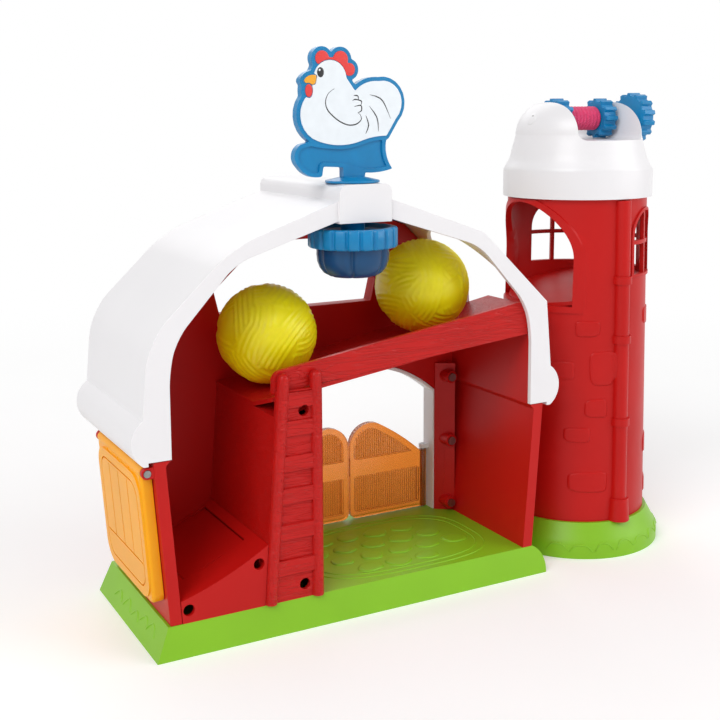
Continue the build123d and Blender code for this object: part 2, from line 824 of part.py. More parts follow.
def hoist_drum():
    length = 2 * wheel_offset - wheel_width
    return on_axle(Cylinder(drum_radius, length) - Cylinder(axle_radius + fit_gap, 2 * length), 0)


def hoist_crank():
    wheel = toothed(crank_radius, crank_root, crank_teeth, crank_width)
    wheel -= Pos(0, 0, crank_width / 2) * Cone(crank_root - 5, crank_root - 2.5, crank_width * 0.6)
    return on_axle(wheel - Cylinder(axle_radius + fit_gap, 2 * crank_width), crank_offset)


# Weather vane

def vane_spindle():
    low, high = impeller_bottom + 6, ridge_top + vane_lift + foot_height
    return Pos(0, vane_y, (low + high) / 2) * Cylinder(spindle_radius, high - low)


def impeller():
    """Bell with a fluted rim that the passing balls brush and turn."""
    sleeve_top = ridge_bottom - vane_lift
    outline = [(0, impeller_bottom), (impeller_tip_radius, impeller_bottom), (impeller_bell_radius, impeller_bell_top),
               (impeller_bell_radius, impeller_rim_bottom), (impeller_rim_radius, impeller_rim_bottom),
               (impeller_rim_radius, impeller_rim_top), (sleeve_radius, impeller_rim_top), (sleeve_radius, sleeve_top),
               (0, sleeve_top)]
    body = turned(outline)
    middle = (impeller_rim_bottom + impeller_rim_top) / 2
    for flute in range(impeller_flutes):
        body -= Rot(0, 0, flute * 360 / impeller_flutes) * Pos(impeller_rim_radius + 0.6, 0, middle) * Cylinder(
            flute_radius, 2 * impeller_rim_radius)
    body -= Pos(0, 0, sleeve_top) * Cylinder(spindle_radius + fit_gap, 2 * (sleeve_top - impeller_bottom - 6))
    return Pos(0, vane_y, 0) * body


def vane_foot():
    low, high = ridge_top + vane_lift, ridge_top + vane_lift + foot_height
    outline = [(spindle_radius + fit_gap, low), (foot_radius, low), (foot_radius, low + foot_rim), (foot_hub, high),
               (spindle_radius + fit_gap, high)]
    return turned(outline, (0, vane_y))


def rooster():
    """Flat weather vane bird standing on a scalloped banner."""
    foot = ridge_top + vane_lift + foot_height
    bird = Pos(-4, foot + 31) * Ellipse(29.5, 15.5)
    bird += Pos(20.5, foot + 39.5) * Circle(15)
    bird += Pos(9, foot + 44) * Circle(10)
    bird += polygon([(-34.5, foot + 34), (-27, foot + 58), (-4, foot + 58), (2, foot + 40)])
    bird += Pos(-15, foot + 56.5) * Circle(12.2)
    for x, z, radius in ((-20.5, 67.5, 4.6), (-12.5, 69.5, 5), (-4.8, 65.5, 5)):
        bird += Pos(x, foot + z) * Circle(radius)
    bird += polygon([(-34.2, foot + 51), (-24, foot + 60), (-24.5, foot + 47.5)])
    banner = Spline((-35.5, foot + 9), (-30, foot + 18), (-10, foot + 19.5), (12, foot + 21), (27.5, foot + 25)) \
        + Line((27.5, foot + 25), (22.5, foot + 12)) \
        + Spline((22.5, foot + 12), (25.8, foot + 3.6), (14, foot + 0.3)) \
        + Line((14, foot + 0.3), (-5.8, foot + 0.3)) + Line((-5.8, foot + 0.3), (-5.8, foot + 4)) \
        + Line((-5.8, foot + 4), (-18.6, foot + 4)) + Line((-18.6, foot + 4), (-18.6, foot - 1)) \
        + Spline((-18.6, foot - 1), (-27, foot - 1.2), (-35.5, foot + 9))
    bird += make_face(banner)
    body = slab(bird, vane_y - rooster_thickness / 2, vane_y + rooster_thickness / 2)
    return body + slab(Pos(0, foot + 0.2) * Rectangle(10, 0.4), vane_y - 2.5, vane_y + 2.5)


# Exit door on the left wall

def door_plane(height):
    turn = radians(wall_lean)
    return Plane(origin=(-wall_outer(height), door_centre, height), x_dir=(0, -1, 0),
                 z_dir=(-cos(turn), 0, -sin(turn)))


hinge_stand_off = door_gap + door_thickness / 2
door_plane_top = door_plane(door_hinge_height)


def exit_door():
    drop = (door_hinge_height - door_bottom) / cos(radians(wall_lean))
    width = door_width
    panel = Pos(0, -drop / 2) * Rectangle(width, drop)
    panel = fillet(panel.vertices().group_by(Axis.Y)[0], door_corner / 2)
    body = extrude(panel, amount=door_thickness)
    body = fillet(body.edges().group_by(Axis.Z)[-1], 2.0)
    for line in range(1, door_planks):
        x = -width / 2 + line * width / door_planks
        body -= Pos(x, -drop / 2, door_thickness) * Rot(0, 45, 0) * Box(door_groove * 2, 2 * drop, door_groove * 2)
    barrel = Pos(0, 0, door_thickness / 2) * Rot(0, 90, 0) * Cylinder(door_thickness / 2, width)
    body += barrel
    body -= Pos(0, 0, door_thickness / 2) * Rot(0, 90, 0) * Cylinder(door_pin_radius + running_gap, 2 * width)
    return door_plane_top * Pos(0, 0, door_gap) * body


def door_lugs():
    """Ears on the wall that hold the ends of the door's pin."""
    body = None
    for side in (-1, 1):
        x = side * (door_width / 2 + facade_gap + door_lug / 2)
        ear = Box(door_lug, door_thickness, hinge_stand_off + 1.5, align=(Align.CENTER, Align.CENTER, Align.MIN))
        ear = Pos(x, 0, -1.5) * ear + Pos(x, 0, hinge_stand_off) * Rot(0, 90, 0) * Cylinder(door_thickness / 2, door_lug)
        body = ear if body is None else body + ear
    body -= Pos(0, 0, hinge_stand_off) * Rot(0, 90, 0) * Cylinder(door_pin_radius + fit_gap, 2 * door_width)
    return door_plane_top * body


def door_pin():
    length = door_width + 2 * (facade_gap + door_lug)
    return door_plane_top * Pos(0, 0, hinge_stand_off) * Rot(0, 90, 0) * Cylinder(door_pin_radius, length)


# Swing leaves in the doorway

def leaf_axis(side):
    return doorway_centre + side * (doorway_half - leaf_jamb_gap - leaf_barrel)


def leaf_outline(inset):
    """Leaf seen from the play side, from the meeting line at X = 0 to its hinge."""
    low = base_height + leaf_foot_gap + inset
    end = doorway_half - leaf_jamb_gap - leaf_barrel
    start = leaf_gap + inset
    shoulder = end - leaf_barrel - leaf_gap - inset
    sides = Polyline((start, leaf_meeting_height - inset), (start, low), (end - inset, low),
                     (end - inset, leaf_hinge_height - inset), (shoulder, leaf_hinge_height - inset))
    return make_face(sides + ThreePointArc((shoulder, leaf_hinge_height - inset),
                                           (leaf_peak_offset, leaf_peak_height - inset),
                                           (start, leaf_meeting_height - inset)))


def swing_leaf(side):
    low = base_height + leaf_foot_gap
    body = slab(leaf_outline(0), leaf_y - leaf_thickness / 2, leaf_y + leaf_thickness / 2)
    field = leaf_outline(leaf_border)
    body -= slab(field, leaf_y - leaf_thickness, leaf_y - leaf_thickness / 2 + leaf_panel)
    body -= slab(field, leaf_y + leaf_thickness / 2 - leaf_panel, leaf_y + leaf_thickness)
    end = doorway_half - leaf_jamb_gap - leaf_barrel
    body += Pos(end, leaf_y, (low + leaf_hinge_height) / 2) * Cylinder(leaf_barrel, leaf_hinge_height - low)
    body -= Pos(end, leaf_y, (low + leaf_hinge_height) / 2) * Cylinder(leaf_pin + running_gap, 2 * leaf_hinge_height)
    if side < 0:
        body = mirror(body, Plane.YZ)
    return Pos(doorway_centre, 0, 0) * body


def leaf_pins():
    high = leaf_hinge_height + leaf_foot_gap + leaf_lug
    pins = [Pos(leaf_axis(side), leaf_y, (base_height + high) / 2) * Cylinder(leaf_pin, high - base_height)
            for side in (-1, 1)]
    return Compound(pins)


def ball(x):
    rise = (ball_radius + ball_lift) / cos(radians(ramp_tilt))
    return Pos(x, 0, ramp_floor(x) + rise) * Sphere(ball_radius)


def main():
    os.makedirs("parts", exist_ok=True)
    nodes = {
        "barn_base": barn_base(), "base_cover": base_cover(),
        "base_screws": base_screws(post_places, 0), "silo_base": silo_base(), "silo_cover": silo_cover(),
        "silo_screws": base_screws(silo_post_places, silo_x), "left_wall": left_wall(), "right_wall": right_wall(),
        "corner_screws": corner_screws(), "liner": liner(), "facade": facade(), "door_trim": door_trim(),
        "ladder_column": ladder_column(), "chute": chute(), "chute_plate": chute_plate(), "ramp": ramp(),
        "roof": roof(), "silo_shell": silo_shell(), "silo_floor": silo_floor(), "silo_cap": silo_cap(),
        "hoist_axle": hoist_axle(), "hoist_wheel_left": hoist_wheel(-1), "hoist_wheel_right": hoist_wheel(1),
        "hoist_drum": hoist_drum(), "hoist_crank": hoist_crank(), "vane_spindle": vane_spindle(),
        "impeller": impeller(), "vane_foot": vane_foot(), "rooster": rooster(), "exit_door": exit_door(),
        "exit_pin": door_pin(), "leaf_left": swing_leaf(-1), "leaf_right": swing_leaf(1),
        "leaf_pins": leaf_pins(), "ball_lower": ball(lower_ball_x), "ball_upper": ball(upper_ball_x),
    }
    for node, shape in nodes.items():
        save(node, shape)


main()
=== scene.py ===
import bpy
import bmesh
import math
import random
import numpy as np
from mathutils import Matrix, Vector
from mathutils.bvhtree import BVHTree


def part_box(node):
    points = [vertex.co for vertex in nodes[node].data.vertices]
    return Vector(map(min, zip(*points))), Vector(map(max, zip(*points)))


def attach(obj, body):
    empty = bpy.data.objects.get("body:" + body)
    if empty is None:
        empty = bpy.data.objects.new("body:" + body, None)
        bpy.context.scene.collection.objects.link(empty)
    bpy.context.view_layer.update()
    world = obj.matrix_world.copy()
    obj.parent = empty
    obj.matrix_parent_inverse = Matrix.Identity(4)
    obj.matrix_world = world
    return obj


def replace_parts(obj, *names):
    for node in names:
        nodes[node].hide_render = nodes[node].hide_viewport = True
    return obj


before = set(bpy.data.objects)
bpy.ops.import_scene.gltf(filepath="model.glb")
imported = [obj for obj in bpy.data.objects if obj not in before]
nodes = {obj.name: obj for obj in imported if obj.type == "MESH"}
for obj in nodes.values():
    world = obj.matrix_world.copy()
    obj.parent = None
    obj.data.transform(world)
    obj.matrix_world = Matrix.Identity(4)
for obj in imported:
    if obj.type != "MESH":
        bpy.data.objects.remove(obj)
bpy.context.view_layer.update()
mm = 0.001
print("frame loaded")


def middle(node):
    low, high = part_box(node)
    return (Vector(low) + Vector(high)) / 2


def linear(hexColour):
    values = [int(hexColour[i:i + 2], 16) / 255 for i in (1, 3, 5)]
    return [v / 12.92 if v <= 0.04045 else ((v + 0.055) / 1.055) ** 2.4 for v in values] + [1.0]


def addNode(tree, kind, settings, links=None):
    # settings are socket names or node attributes, links are input name: (node, output name)
    node = tree.nodes.new(kind)
    for name, value in settings.items():
        if isinstance(name, int) or name in node.inputs:
            node.inputs[name].default_value = value
        else:
            setattr(node, name, value)
    for name, (source, output) in (links or {}).items():
        tree.links.new(source.outputs[output], node.inputs[name])
    return node


def newMaterial(name, **shaderValues):
    material = bpy.data.materials.new(name)
    material.use_nodes = True
    tree = material.node_tree
    shader = tree.nodes["Principled BSDF"]
    for socket, value in shaderValues.items():
        shader.inputs[socket].default_value = value
    coords = addNode(tree, "ShaderNodeTexCoord", {})
    return material, tree, shader, coords


def pigment(tree, coords, shader, colour, spread, sizeMm):
    # slow cloudy change of the pigment, a little darker where the melt flowed thin
    cloud = addNode(tree, "ShaderNodeTexNoise", {"Scale": 1000 / sizeMm, "Detail": 3.0},
                    {"Vector": (coords, "Object")})
    ramp = addNode(tree, "ShaderNodeValToRGB", {}, {"Fac": (cloud, "Fac")})
    full = linear(colour)
    ramp.color_ramp.elements[0].position = 0.3
    ramp.color_ramp.elements[1].position = 0.7
    ramp.color_ramp.elements[0].color = [c * (1 - spread) for c in full[:3]] + [1.0]
    ramp.color_ramp.elements[1].color = full
    tree.links.new(ramp.outputs["Color"], shader.inputs["Base Color"])
    return ramp


def finePeel(tree, coords, shader, sizeMm, depthMm, chain=None):
    # the fine uneven skin that a steel mould leaves on plastic, and its uneven gloss
    grain = addNode(tree, "ShaderNodeTexNoise", {"Scale": 1000 / sizeMm, "Detail": 2.0},
                    {"Vector": (coords, "Object")})
    bump = addNode(tree, "ShaderNodeBump", {"Strength": 0.35, "Distance": depthMm * mm},
                   {"Height": (grain, "Fac")})
    if chain:
        tree.links.new(chain.outputs["Normal"], bump.inputs["Normal"])
    tree.links.new(bump.outputs["Normal"], shader.inputs["Normal"])
    gloss = shader.inputs["Roughness"].default_value
    patches = addNode(tree, "ShaderNodeTexNoise", {"Scale": 1000 / (sizeMm * 14), "Detail": 2.0},
                      {"Vector": (coords, "Object")})
    span = addNode(tree, "ShaderNodeMapRange", {"To Min": gloss * 0.88, "To Max": gloss * 1.12},
                   {"Value": (patches, "Fac")})
    tree.links.new(span.outputs["Result"], shader.inputs["Roughness"])
    return bump


def carvedGrain(tree, coords, alongMm, acrossMm, depthMm, axis):
    # shallow wandering lines cut along a plank: long in one direction, close in the other
    scale = [1000 / acrossMm] * 3
    scale[axis] = 1000 / alongMm
    stretch = addNode(tree, "ShaderNodeMapping", {"Scale": scale}, {"Vector": (coords, "Object")})
    lines = addNode(tree, "ShaderNodeTexNoise", {"Scale": 1.0, "Detail": 1.5, "Distortion": 0.6},
                    {"Vector": (stretch, "Vector")})
    fold = addNode(tree, "ShaderNodeMath", {"operation": "PINGPONG", 1: 0.06}, {0: (lines, "Fac")})
    cut = addNode(tree, "ShaderNodeValToRGB", {}, {"Fac": (fold, "Value")})
    cut.color_ramp.elements[0].position = 0.004
    cut.color_ramp.elements[1].position = 0.02
    return addNode(tree, "ShaderNodeBump", {"Strength": 0.6, "Distance": depthMm * mm},
                   {"Height": (cut, "Color")})


def redPolypropylene():
    # injection moulded polypropylene: deep even red, a soft satin shine
    material, tree, shader, coords = newMaterial("redPolypropylene", Roughness=0.40, IOR=1.49)
    shader.inputs["Specular IOR Level"].default_value = 0.24
    pigment(tree, coords, shader, "#C41512", 0.10, 60)
    finePeel(tree, coords, shader, 1.4, 0.05)
    return material


def plankRed():
    # the same red plastic from a mould with carved plank grain along X
    material, tree, shader, coords = newMaterial("plankRed", Roughness=0.33, IOR=1.49)
    shader.inputs["Specular IOR Level"].default_value = 0.26
    pigment(tree, coords, shader, "#C41512", 0.10, 40)
    grain = carvedGrain(tree, coords, 60, 3.2, 0.6, 0)
    finePeel(tree, coords, shader, 1.4, 0.05, grain)
    return material


def greenPolypropylene():
    # injection moulded polypropylene: bright leaf green, satin
    material, tree, shader, coords = newMaterial("greenPolypropylene", Roughness=0.40, IOR=1.49)
    shader.inputs["Specular IOR Level"].default_value = 0.4
    pigment(tree, coords, shader, "#88C41E", 0.08, 50)
    finePeel(tree, coords, shader, 1.6, 0.06)
    return material


def whiteAbs():
    # moulded ABS: clean white with wide soft highlights
    material, tree, shader, coords = newMaterial("whiteAbs", Roughness=0.34, IOR=1.53)
    pigment(tree, coords, shader, "#EFEDEF", 0.03, 80)
    finePeel(tree, coords, shader, 3.0, 0.03)
    return material


def blueAbs(name, colour, glow):
    # moulded ABS tinted through, so that thin edges look lighter than thick ones
    material, tree, shader, coords = newMaterial(name, Roughness=0.30, IOR=1.53)
    shader.inputs["Specular IOR Level"].default_value = 0.36
    shader.inputs["Subsurface Weight"].default_value = glow
    shader.inputs["Subsurface Radius"].default_value = (0.0006, 0.002, 0.004)
    pigment(tree, coords, shader, colour, 0.14, 12)
    finePeel(tree, coords, shader, 1.0, 0.03)
    return material


drumFinish = {"colour": "#F9487F", "strandsRound": 46, "strandMm": 1.1}


def ropePink():
    # moulded drum in the form of wound twine: slanting strands round every turn
    material, tree, shader, coords = newMaterial("ropePink", Roughness=0.5, IOR=1.5)
    pigment(tree, coords, shader, drumFinish["colour"], 0.15, 3)
    axle = middle("hoist_drum")
    centred = addNode(tree, "ShaderNodeVectorMath", {"operation": "SUBTRACT", 1: axle}, {0: (coords, "Object")})
    axes = addNode(tree, "ShaderNodeSeparateXYZ", {}, {"Vector": (centred, "Vector")})
    turn = addNode(tree, "ShaderNodeMath", {"operation": "ARCTAN2"}, {0: (axes, "Y"), 1: (axes, "Z")})
    round_ = addNode(tree, "ShaderNodeMath", {"operation": "MULTIPLY", 1: drumFinish["strandsRound"]},
                     {0: (turn, "Value")})
    along = addNode(tree, "ShaderNodeMath", {"operation": "MULTIPLY_ADD",
                    1: 2 * math.pi * 1000 / (2.5 * drumFinish["strandMm"])},
                    {0: (axes, "X"), 2: (round_, "Value")})
    strands = addNode(tree, "ShaderNodeMath", {"operation": "SINE"}, {0: (along, "Value")})
    bump = addNode(tree, "ShaderNodeBump", {"Strength": 0.8, "Distance": 0.3 * mm}, {"Height": (strands, "Value")})
    tree.links.new(bump.outputs["Normal"], shader.inputs["Normal"])
    return material


def amberPolypropylene():
    # moulded polypropylene: warm yellow orange, light gets a little way in
    material, tree, shader, coords = newMaterial("amberPolypropylene", Roughness=0.36, IOR=1.49)
    pigment(tree, coords, shader, "#FFAE14", 0.08, 30)
    finePeel(tree, coords, shader, 1.5, 0.05)
    shader.inputs["Specular IOR Level"].default_value = 0.25
    shader.inputs["Subsurface Weight"].default_value = 0.2
    shader.inputs["Subsurface Radius"].default_value = (0.005, 0.002, 0.0004)
    return material


# fine upright reeds, only on the faces that are sunk between the leaf's borders
reeds = {"pitchMm": 1.7, "depthMm": 0.3, "reachMm": 1.4}


def tintedPolystyrene():
    # polystyrene tinted orange: clear enough to glow where light comes from behind
    material, tree, shader, coords = newMaterial("tintedPolystyrene", Roughness=0.26, IOR=1.59)
    pigment(tree, coords, shader, "#FF9A3A", 0.06, 14)
    shader.inputs["Transmission Weight"].default_value = 0.85
    axes = addNode(tree, "ShaderNodeSeparateXYZ", {}, {"Vector": (coords, "Object")})
    ribs = addNode(tree, "ShaderNodeMath", {"operation": "MULTIPLY", 1: 2 * math.pi / (reeds["pitchMm"] * mm)},
                   {0: (axes, "X")})
    waves = addNode(tree, "ShaderNodeMath", {"operation": "SINE"}, {0: (ribs, "Value")})
    sunkFace = addNode(tree, "ShaderNodeMath", {"operation": "COMPARE", 1: middle("leaf_left").y, 2: reeds["reachMm"] * mm},
                       {0: (axes, "Y")})
    height = addNode(tree, "ShaderNodeMath", {"operation": "MULTIPLY"}, {0: (waves, "Value"), 1: (sunkFace, "Value")})
    bump = addNode(tree, "ShaderNodeBump", {"Strength": 0.8, "Distance": reeds["depthMm"] * mm},
                   {"Height": (height, "Value")})
    tree.links.new(bump.outputs["Normal"], shader.inputs["Normal"])
    return material


def yellowAbs():
    # moulded ABS: lemon yellow with a low gloss
    material, tree, shader, coords = newMaterial("yellowAbs", Roughness=0.36, IOR=1.53)
    pigment(tree, coords, shader, "#FFF00A", 0.08, 9)
    finePeel(tree, coords, shader, 1.2, 0.05)
    shader.inputs["Specular IOR Level"].default_value = 0.4
    shader.inputs["Subsurface Weight"].default_value = 0.45
    shader.inputs["Subsurface Radius"].default_value = (0.006, 0.005, 0.001)
    return material


def zincSteel():
    # zinc plated steel: grey with fine turning marks
    material, tree, shader, coords = newMaterial("zincSteel", Roughness=0.32, Metallic=1.0)
    pigment(tree, coords, shader, "#9C9C9A", 0.25, 2)
    finePeel(tree, coords, shader, 0.4, 0.03)
    return material


def enamel(name, colour, roughness):
    # pad printed enamel under a clear coat: even colour, wet looking
    material, tree, shader, coords = newMaterial(name, Roughness=roughness, IOR=1.5)
    shader.inputs["Coat Weight"].default_value = 0.3
    pigment(tree, coords, shader, colour, 0.05, 6)
    finePeel(tree, coords, shader, 0.9, 0.03)
    return material


red, planks, green = redPolypropylene(), plankRed(), greenPolypropylene()
white, pink = whiteAbs(), ropePink()
# the second blue is the same blue ABS made darker for the bell bowl: painted shade, since bowl and rim are one blue
# moulding
blue, shadedBlue = blueAbs("blueAbs", "#0483BC", 0.15), blueAbs("shadedBlueAbs", "#034775", 0.1)
amber, tinted, yellow, zinc = amberPolypropylene(), tintedPolystyrene(), yellowAbs(), zincSteel()
enamelWhite = enamel("enamelWhite", "#EDF3F8", 0.32)
enamelRed = enamel("enamelRed", "#E5332E", 0.32)
enamelOrange = enamel("enamelOrange", "#F4A818", 0.32)
enamelBlack = enamel("enamelBlack", "#17171A", 0.25)
print("materials made")

finishes = {
    red: ["left_wall", "right_wall", "liner", "facade", "chute", "chute_plate", "silo_shell", "silo_floor"],
    planks: ["ramp", "ladder_column"],
    green: ["barn_base", "base_cover", "silo_base", "silo_cover"],
    white: ["roof", "silo_cap", "door_trim"],
    blue: ["impeller", "vane_foot", "hoist_wheel_left", "hoist_wheel_right", "hoist_crank", "rooster"],
    pink: ["hoist_drum"],
    amber: ["exit_door"],
    tinted: ["leaf_left", "leaf_right"],
    zinc: ["base_screws", "silo_screws", "corner_screws", "exit_pin", "leaf_pins", "vane_spindle", "hoist_axle"],
}

# rounding of the moulded edges, in mm
edgeRounding = {"roof": 1.2, "silo_cap": 1.0, "barn_base": 1.2, "silo_base": 1.0, "exit_door": 0.4,
                "ladder_column": 0.7, "ramp": 0.7, "left_wall": 0.7, "right_wall": 0.7, "facade": 0.5,
                "liner": 0.5, "chute": 0.5, "silo_shell": 0.5, "door_trim": 0.4, "impeller": 0.5,
                "hoist_wheel_left": 0.5, "hoist_wheel_right": 0.5, "hoist_crank": 0.5,
                "rooster": 0.7, "leaf_left": 0.5, "leaf_right": 0.5, "chute_plate": 0.3, "vane_foot": 0.3}


def roundEdges(obj, widthMm):
    weld = obj.modifiers.new("weld", "WELD")
    weld.merge_threshold = 0.005 * mm
    bevel = obj.modifiers.new("rounding", "BEVEL")
    bevel.width = widthMm * mm
    bevel.segments = 2
    bevel.limit_method = "ANGLE"
    bevel.angle_limit = math.radians(40)
    normals = obj.modifiers.new("normals", "WEIGHTED_NORMAL")
    normals.keep_sharp = False


for material, names in finishes.items():
    for name in names:
        nodes[name].data.materials.clear()
        nodes[name].data.materials.append(material)
for name, width in edgeRounding.items():
    roundEdges(nodes[name], width)
print("frame dressed")


def meshPiece(name, bm, material, body):
    mesh = bpy.data.meshes.new(name)
    bm.to_mesh(mesh)
    bm.free()
    obj = bpy.data.objects.new(name, mesh)
    bpy.context.scene.collection.objects.link(obj)
    obj.data.materials.append(material)
    for polygon in mesh.polygons:
        polygon.use_smooth = True
    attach(obj, body)
    return obj


def surfaceOf(node):
    mesh = nodes[node].data
    return BVHTree.FromPolygons([v.co for v in mesh.vertices], [tuple(p.vertices) for p in mesh.polygons])


def facing(node, origin, across, up, towards):
    # a point (u, v) in mm on a plane in front of a piece, dropped on to the piece and lifted off it
    tree = surfaceOf(node)
    origin, across, up, towards = Vector(origin), Vector(across), Vector(up), Vector(towards)

    def place(u, v, liftMm):
        hit, normal, face, distance = tree.ray_cast(origin + (across * u + up * v) * mm, towards)
        if hit is None:
            return None
        return hit - towards * (liftMm * mm)
    return place


def around(node, axis, startMm):
    # a point (degrees, height in mm) round an upright piece, dropped on to it from outside
    tree = surfaceOf(node)

    def place(angle, height, liftMm):
        out = Vector((math.cos(math.radians(angle)), math.sin(math.radians(angle)), 0))
        hit = tree.ray_cast(Vector((axis.x, axis.y, height * mm)) + out * startMm * mm, -out)[0]
        return None if hit is None else hit + out * (liftMm * mm)
    return place


def softCurve(points, closed=False, steps=5):
    count = len(points)
    spans = count if closed else count - 1
    curve = []
    for i in range(spans):
        a, b, c, d = [np.array(points[(i + k) % count] if closed else points[min(max(i + k, 0), count - 1)])
                      for k in (-1, 0, 1, 2)]
        for step in range(steps):
            t = step / steps
            curve.append(0.5 * (2 * b + (c - a) * t + (2 * a - 5 * b + 4 * c - d) * t ** 2
                                + (3 * b - a - 3 * c + d) * t ** 3))
    if not closed:
        curve.append(np.array(points[-1]))
    return curve


def addLine(bm, path, place, widthMm, liftMm, closed=False, stretch=(1, 1), sink=0.12):
    # low half round line along a path, its edges a little under the surface; stretch turns mm into path units
    rows = []
    count = len(path)
    for i, point in enumerate(path):
        before = path[(i - 1) % count] if closed or i > 0 else point
        after = path[(i + 1) % count] if closed or i < count - 1 else point
        run = (np.array(after) - np.array(before)) / np.array(stretch)
        side = np.array((-run[1], run[0])) / max(np.hypot(*run), 1e-9) * np.array(stretch)
        thin = 1.0 if closed else min(1.0, 0.25 + 2.5 * min(i, count - 1 - i) / count)
        row = []
        for share, lift in ((-0.5, -sink), (-0.28, 0.75 * liftMm), (0, liftMm), (0.28, 0.75 * liftMm), (0.5, -sink)):
            spot = np.array(point) + side * share * widthMm * thin
            row.append(place(spot[0], spot[1], lift))
        if None in row:
            continue
        rows.append([bm.verts.new(spot) for spot in row])
    pairs = list(zip(rows, rows[1:])) + ([(rows[-1], rows[0])] if closed and len(rows) == count else [])
    for first, second in pairs:
        for k in range(len(first) - 1):
            bm.faces.new((first[k], second[k], second[k + 1], first[k + 1]))


def addPad(bm, outline, place, liftMm, sink=0.15):
    # low patch with a rounded rim, its edge a little under the surface
    outline = [np.array(p) for p in outline]
    centre = sum(outline) / len(outline)
    rings = []
    for share, lift in ((1.0, -sink), (0.97, 0.45 * liftMm), (0.90, 0.9 * liftMm), (0.80, liftMm), (0.4, liftMm)):
        ring = [place(*(centre + (p - centre) * share), lift) for p in outline]
        if None in ring:
            return
        rings.append([bm.verts.new(spot) for spot in ring])
    for outer, inner in zip(rings, rings[1:]):
        for k in range(len(outer)):
            n = (k + 1) % len(outer)
            bm.faces.new((outer[k], outer[n], inner[n], inner[k]))
    top = bm.verts.new(place(centre[0], centre[1], liftMm))
    for k in range(len(rings[-1])):
        bm.faces.new((rings[-1][k], rings[-1][(k + 1) % len(rings[-1])], top))


# the hay balls: straw in bundles that curve over each other, and one cord across
hayBall = {"bundles": 30, "strawsInBundle": 4, "strawPitchDeg": 6.4, "strawWidthDeg": 1.9, "reliefMm": 0.75,
           "cordWidthDeg": 1.1, "cordMm": 0.7}


def hayBallSkin(node, body, seed):
    low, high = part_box(node)
    radius = (high[2] - low[2]) / 2
    bm = bmesh.new()
    bmesh.ops.create_icosphere(bm, subdivisions=6, radius=1.0)
    spots = np.array([v.co.normalized() for v in bm.verts])
    rng = np.random.default_rng(seed)
    height = np.zeros(len(spots))
    owner = np.full(len(spots), -1.0)
    for bundle in range(hayBall["bundles"]):
        pole = rng.normal(size=3)
        pole /= np.linalg.norm(pole)
        tilt = np.degrees(np.arccos(np.clip(spots @ pole, -1, 1)))
        start = rng.normal(size=3)
        start -= pole * (start @ pole)
        start /= np.linalg.norm(start)
        turn = np.degrees(np.arctan2(spots @ np.cross(pole, start), spots @ start))
        first = rng.uniform(18, 55)
        width = hayBall["strawPitchDeg"] * hayBall["strawsInBundle"]
        inside = (tilt > first - 2) & (tilt < first + width + 2) & (np.abs(turn) < rng.uniform(35, 65))
        straws = np.abs(((tilt - first) / hayBall["strawPitchDeg"] + 0.5) % 1 - 0.5) * hayBall["strawPitchDeg"]
        relief = np.exp(-(straws / hayBall["strawWidthDeg"]) ** 2)
        height = np.where(inside, relief, height)
        owner = np.where(inside, bundle, owner)
    cord = rng.normal(size=3)
    cord /= np.linalg.norm(cord)
    off = np.abs(np.degrees(np.arcsin(np.clip(spots @ cord, -1, 1))))
    depth = (1 - height) * hayBall["reliefMm"]
    depth = np.maximum(depth, np.exp(-(off / hayBall["cordWidthDeg"]) ** 2) * hayBall["cordMm"])
    centre = middle(node)
    for vert, spot, sunk in zip(bm.verts, spots, depth):
        vert.co = centre + Vector(spot) * (radius - sunk * mm)
    skin = meshPiece(node + "_skin", bm, yellow, body)
    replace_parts(skin, node)
    return skin


hayBallSkin("ball_lower", "lower_ball", 11)
hayBallSkin("ball_upper", "upper_ball", 4)
print("balls made")


# cobbled yard moulded on the stall floor
yard = {"leftX": -22.0, "rightX": 103.0, "nearY": -47.0, "farY": 34.0, "stoneX": 20.5, "stoneY": 16.0,
        "liftMm": 0.7, "ringWidthMm": 1.3, "ringGapMm": 5.0, "seed": 5}


def cobbledYard():
    place = facing("barn_base", (0, 0, 0.08), (1, 0, 0), (0, 1, 0), (0, 0, -1))
    pick = random.Random(yard["seed"])
    bm = bmesh.new()
    midX, midY = (yard["leftX"] + yard["rightX"]) / 2, (yard["nearY"] + yard["farY"]) / 2
    halfX, halfY = (yard["rightX"] - yard["leftX"]) / 2, (yard["farY"] - yard["nearY"]) / 2

    def ring(inset):
        return [(midX + math.copysign(abs(math.cos(a)) ** 0.62, math.cos(a)) * (halfX - inset),
                 midY + math.copysign(abs(math.sin(a)) ** 0.62, math.sin(a)) * (halfY - inset))
                for a in (math.radians(d) for d in range(0, 360, 4))]
    for inset in (0.0, yard["ringGapMm"]):
        addLine(bm, ring(inset), place, yard["ringWidthMm"], 0.45, closed=True)
    row, y = 0, yard["nearY"] + 14
    while y < yard["farY"] - 9:
        x = yard["leftX"] + 15 + (row % 2) * yard["stoneX"] / 2
        while x < yard["rightX"] - 10:
            far = abs((x - midX) / (halfX - 14)) ** 3.2 + abs((y - midY) / (halfY - 11)) ** 3.2
            if far < 1.0:
                size = pick.uniform(0.86, 1.04)
                corners = []
                for k in range(7):
                    a = math.radians(k * 360 / 7 + pick.uniform(-14, 14))
                    corners.append((x + math.cos(a) * yard["stoneX"] * 0.45 * size * pick.uniform(0.86, 1.06),
                                    y + math.sin(a) * yard["stoneY"] * 0.44 * size * pick.uniform(0.86, 1.06)))
                addPad(bm, softCurve(corners, closed=True, steps=4), place, yard["liftMm"])
            x += yard["stoneX"]
        y += yard["stoneY"]
        row += 1
    meshPiece("yard_cobbles", bm, green, "barn")


# tufts of grass as bowed lines on the base bevels
grass = {"lineWidthMm": 1.2, "liftMm": 0.5, "siloTufts": 22, "barnTuftY": (-33.0, -21.0, -7.0, 8.0, 24.0)}


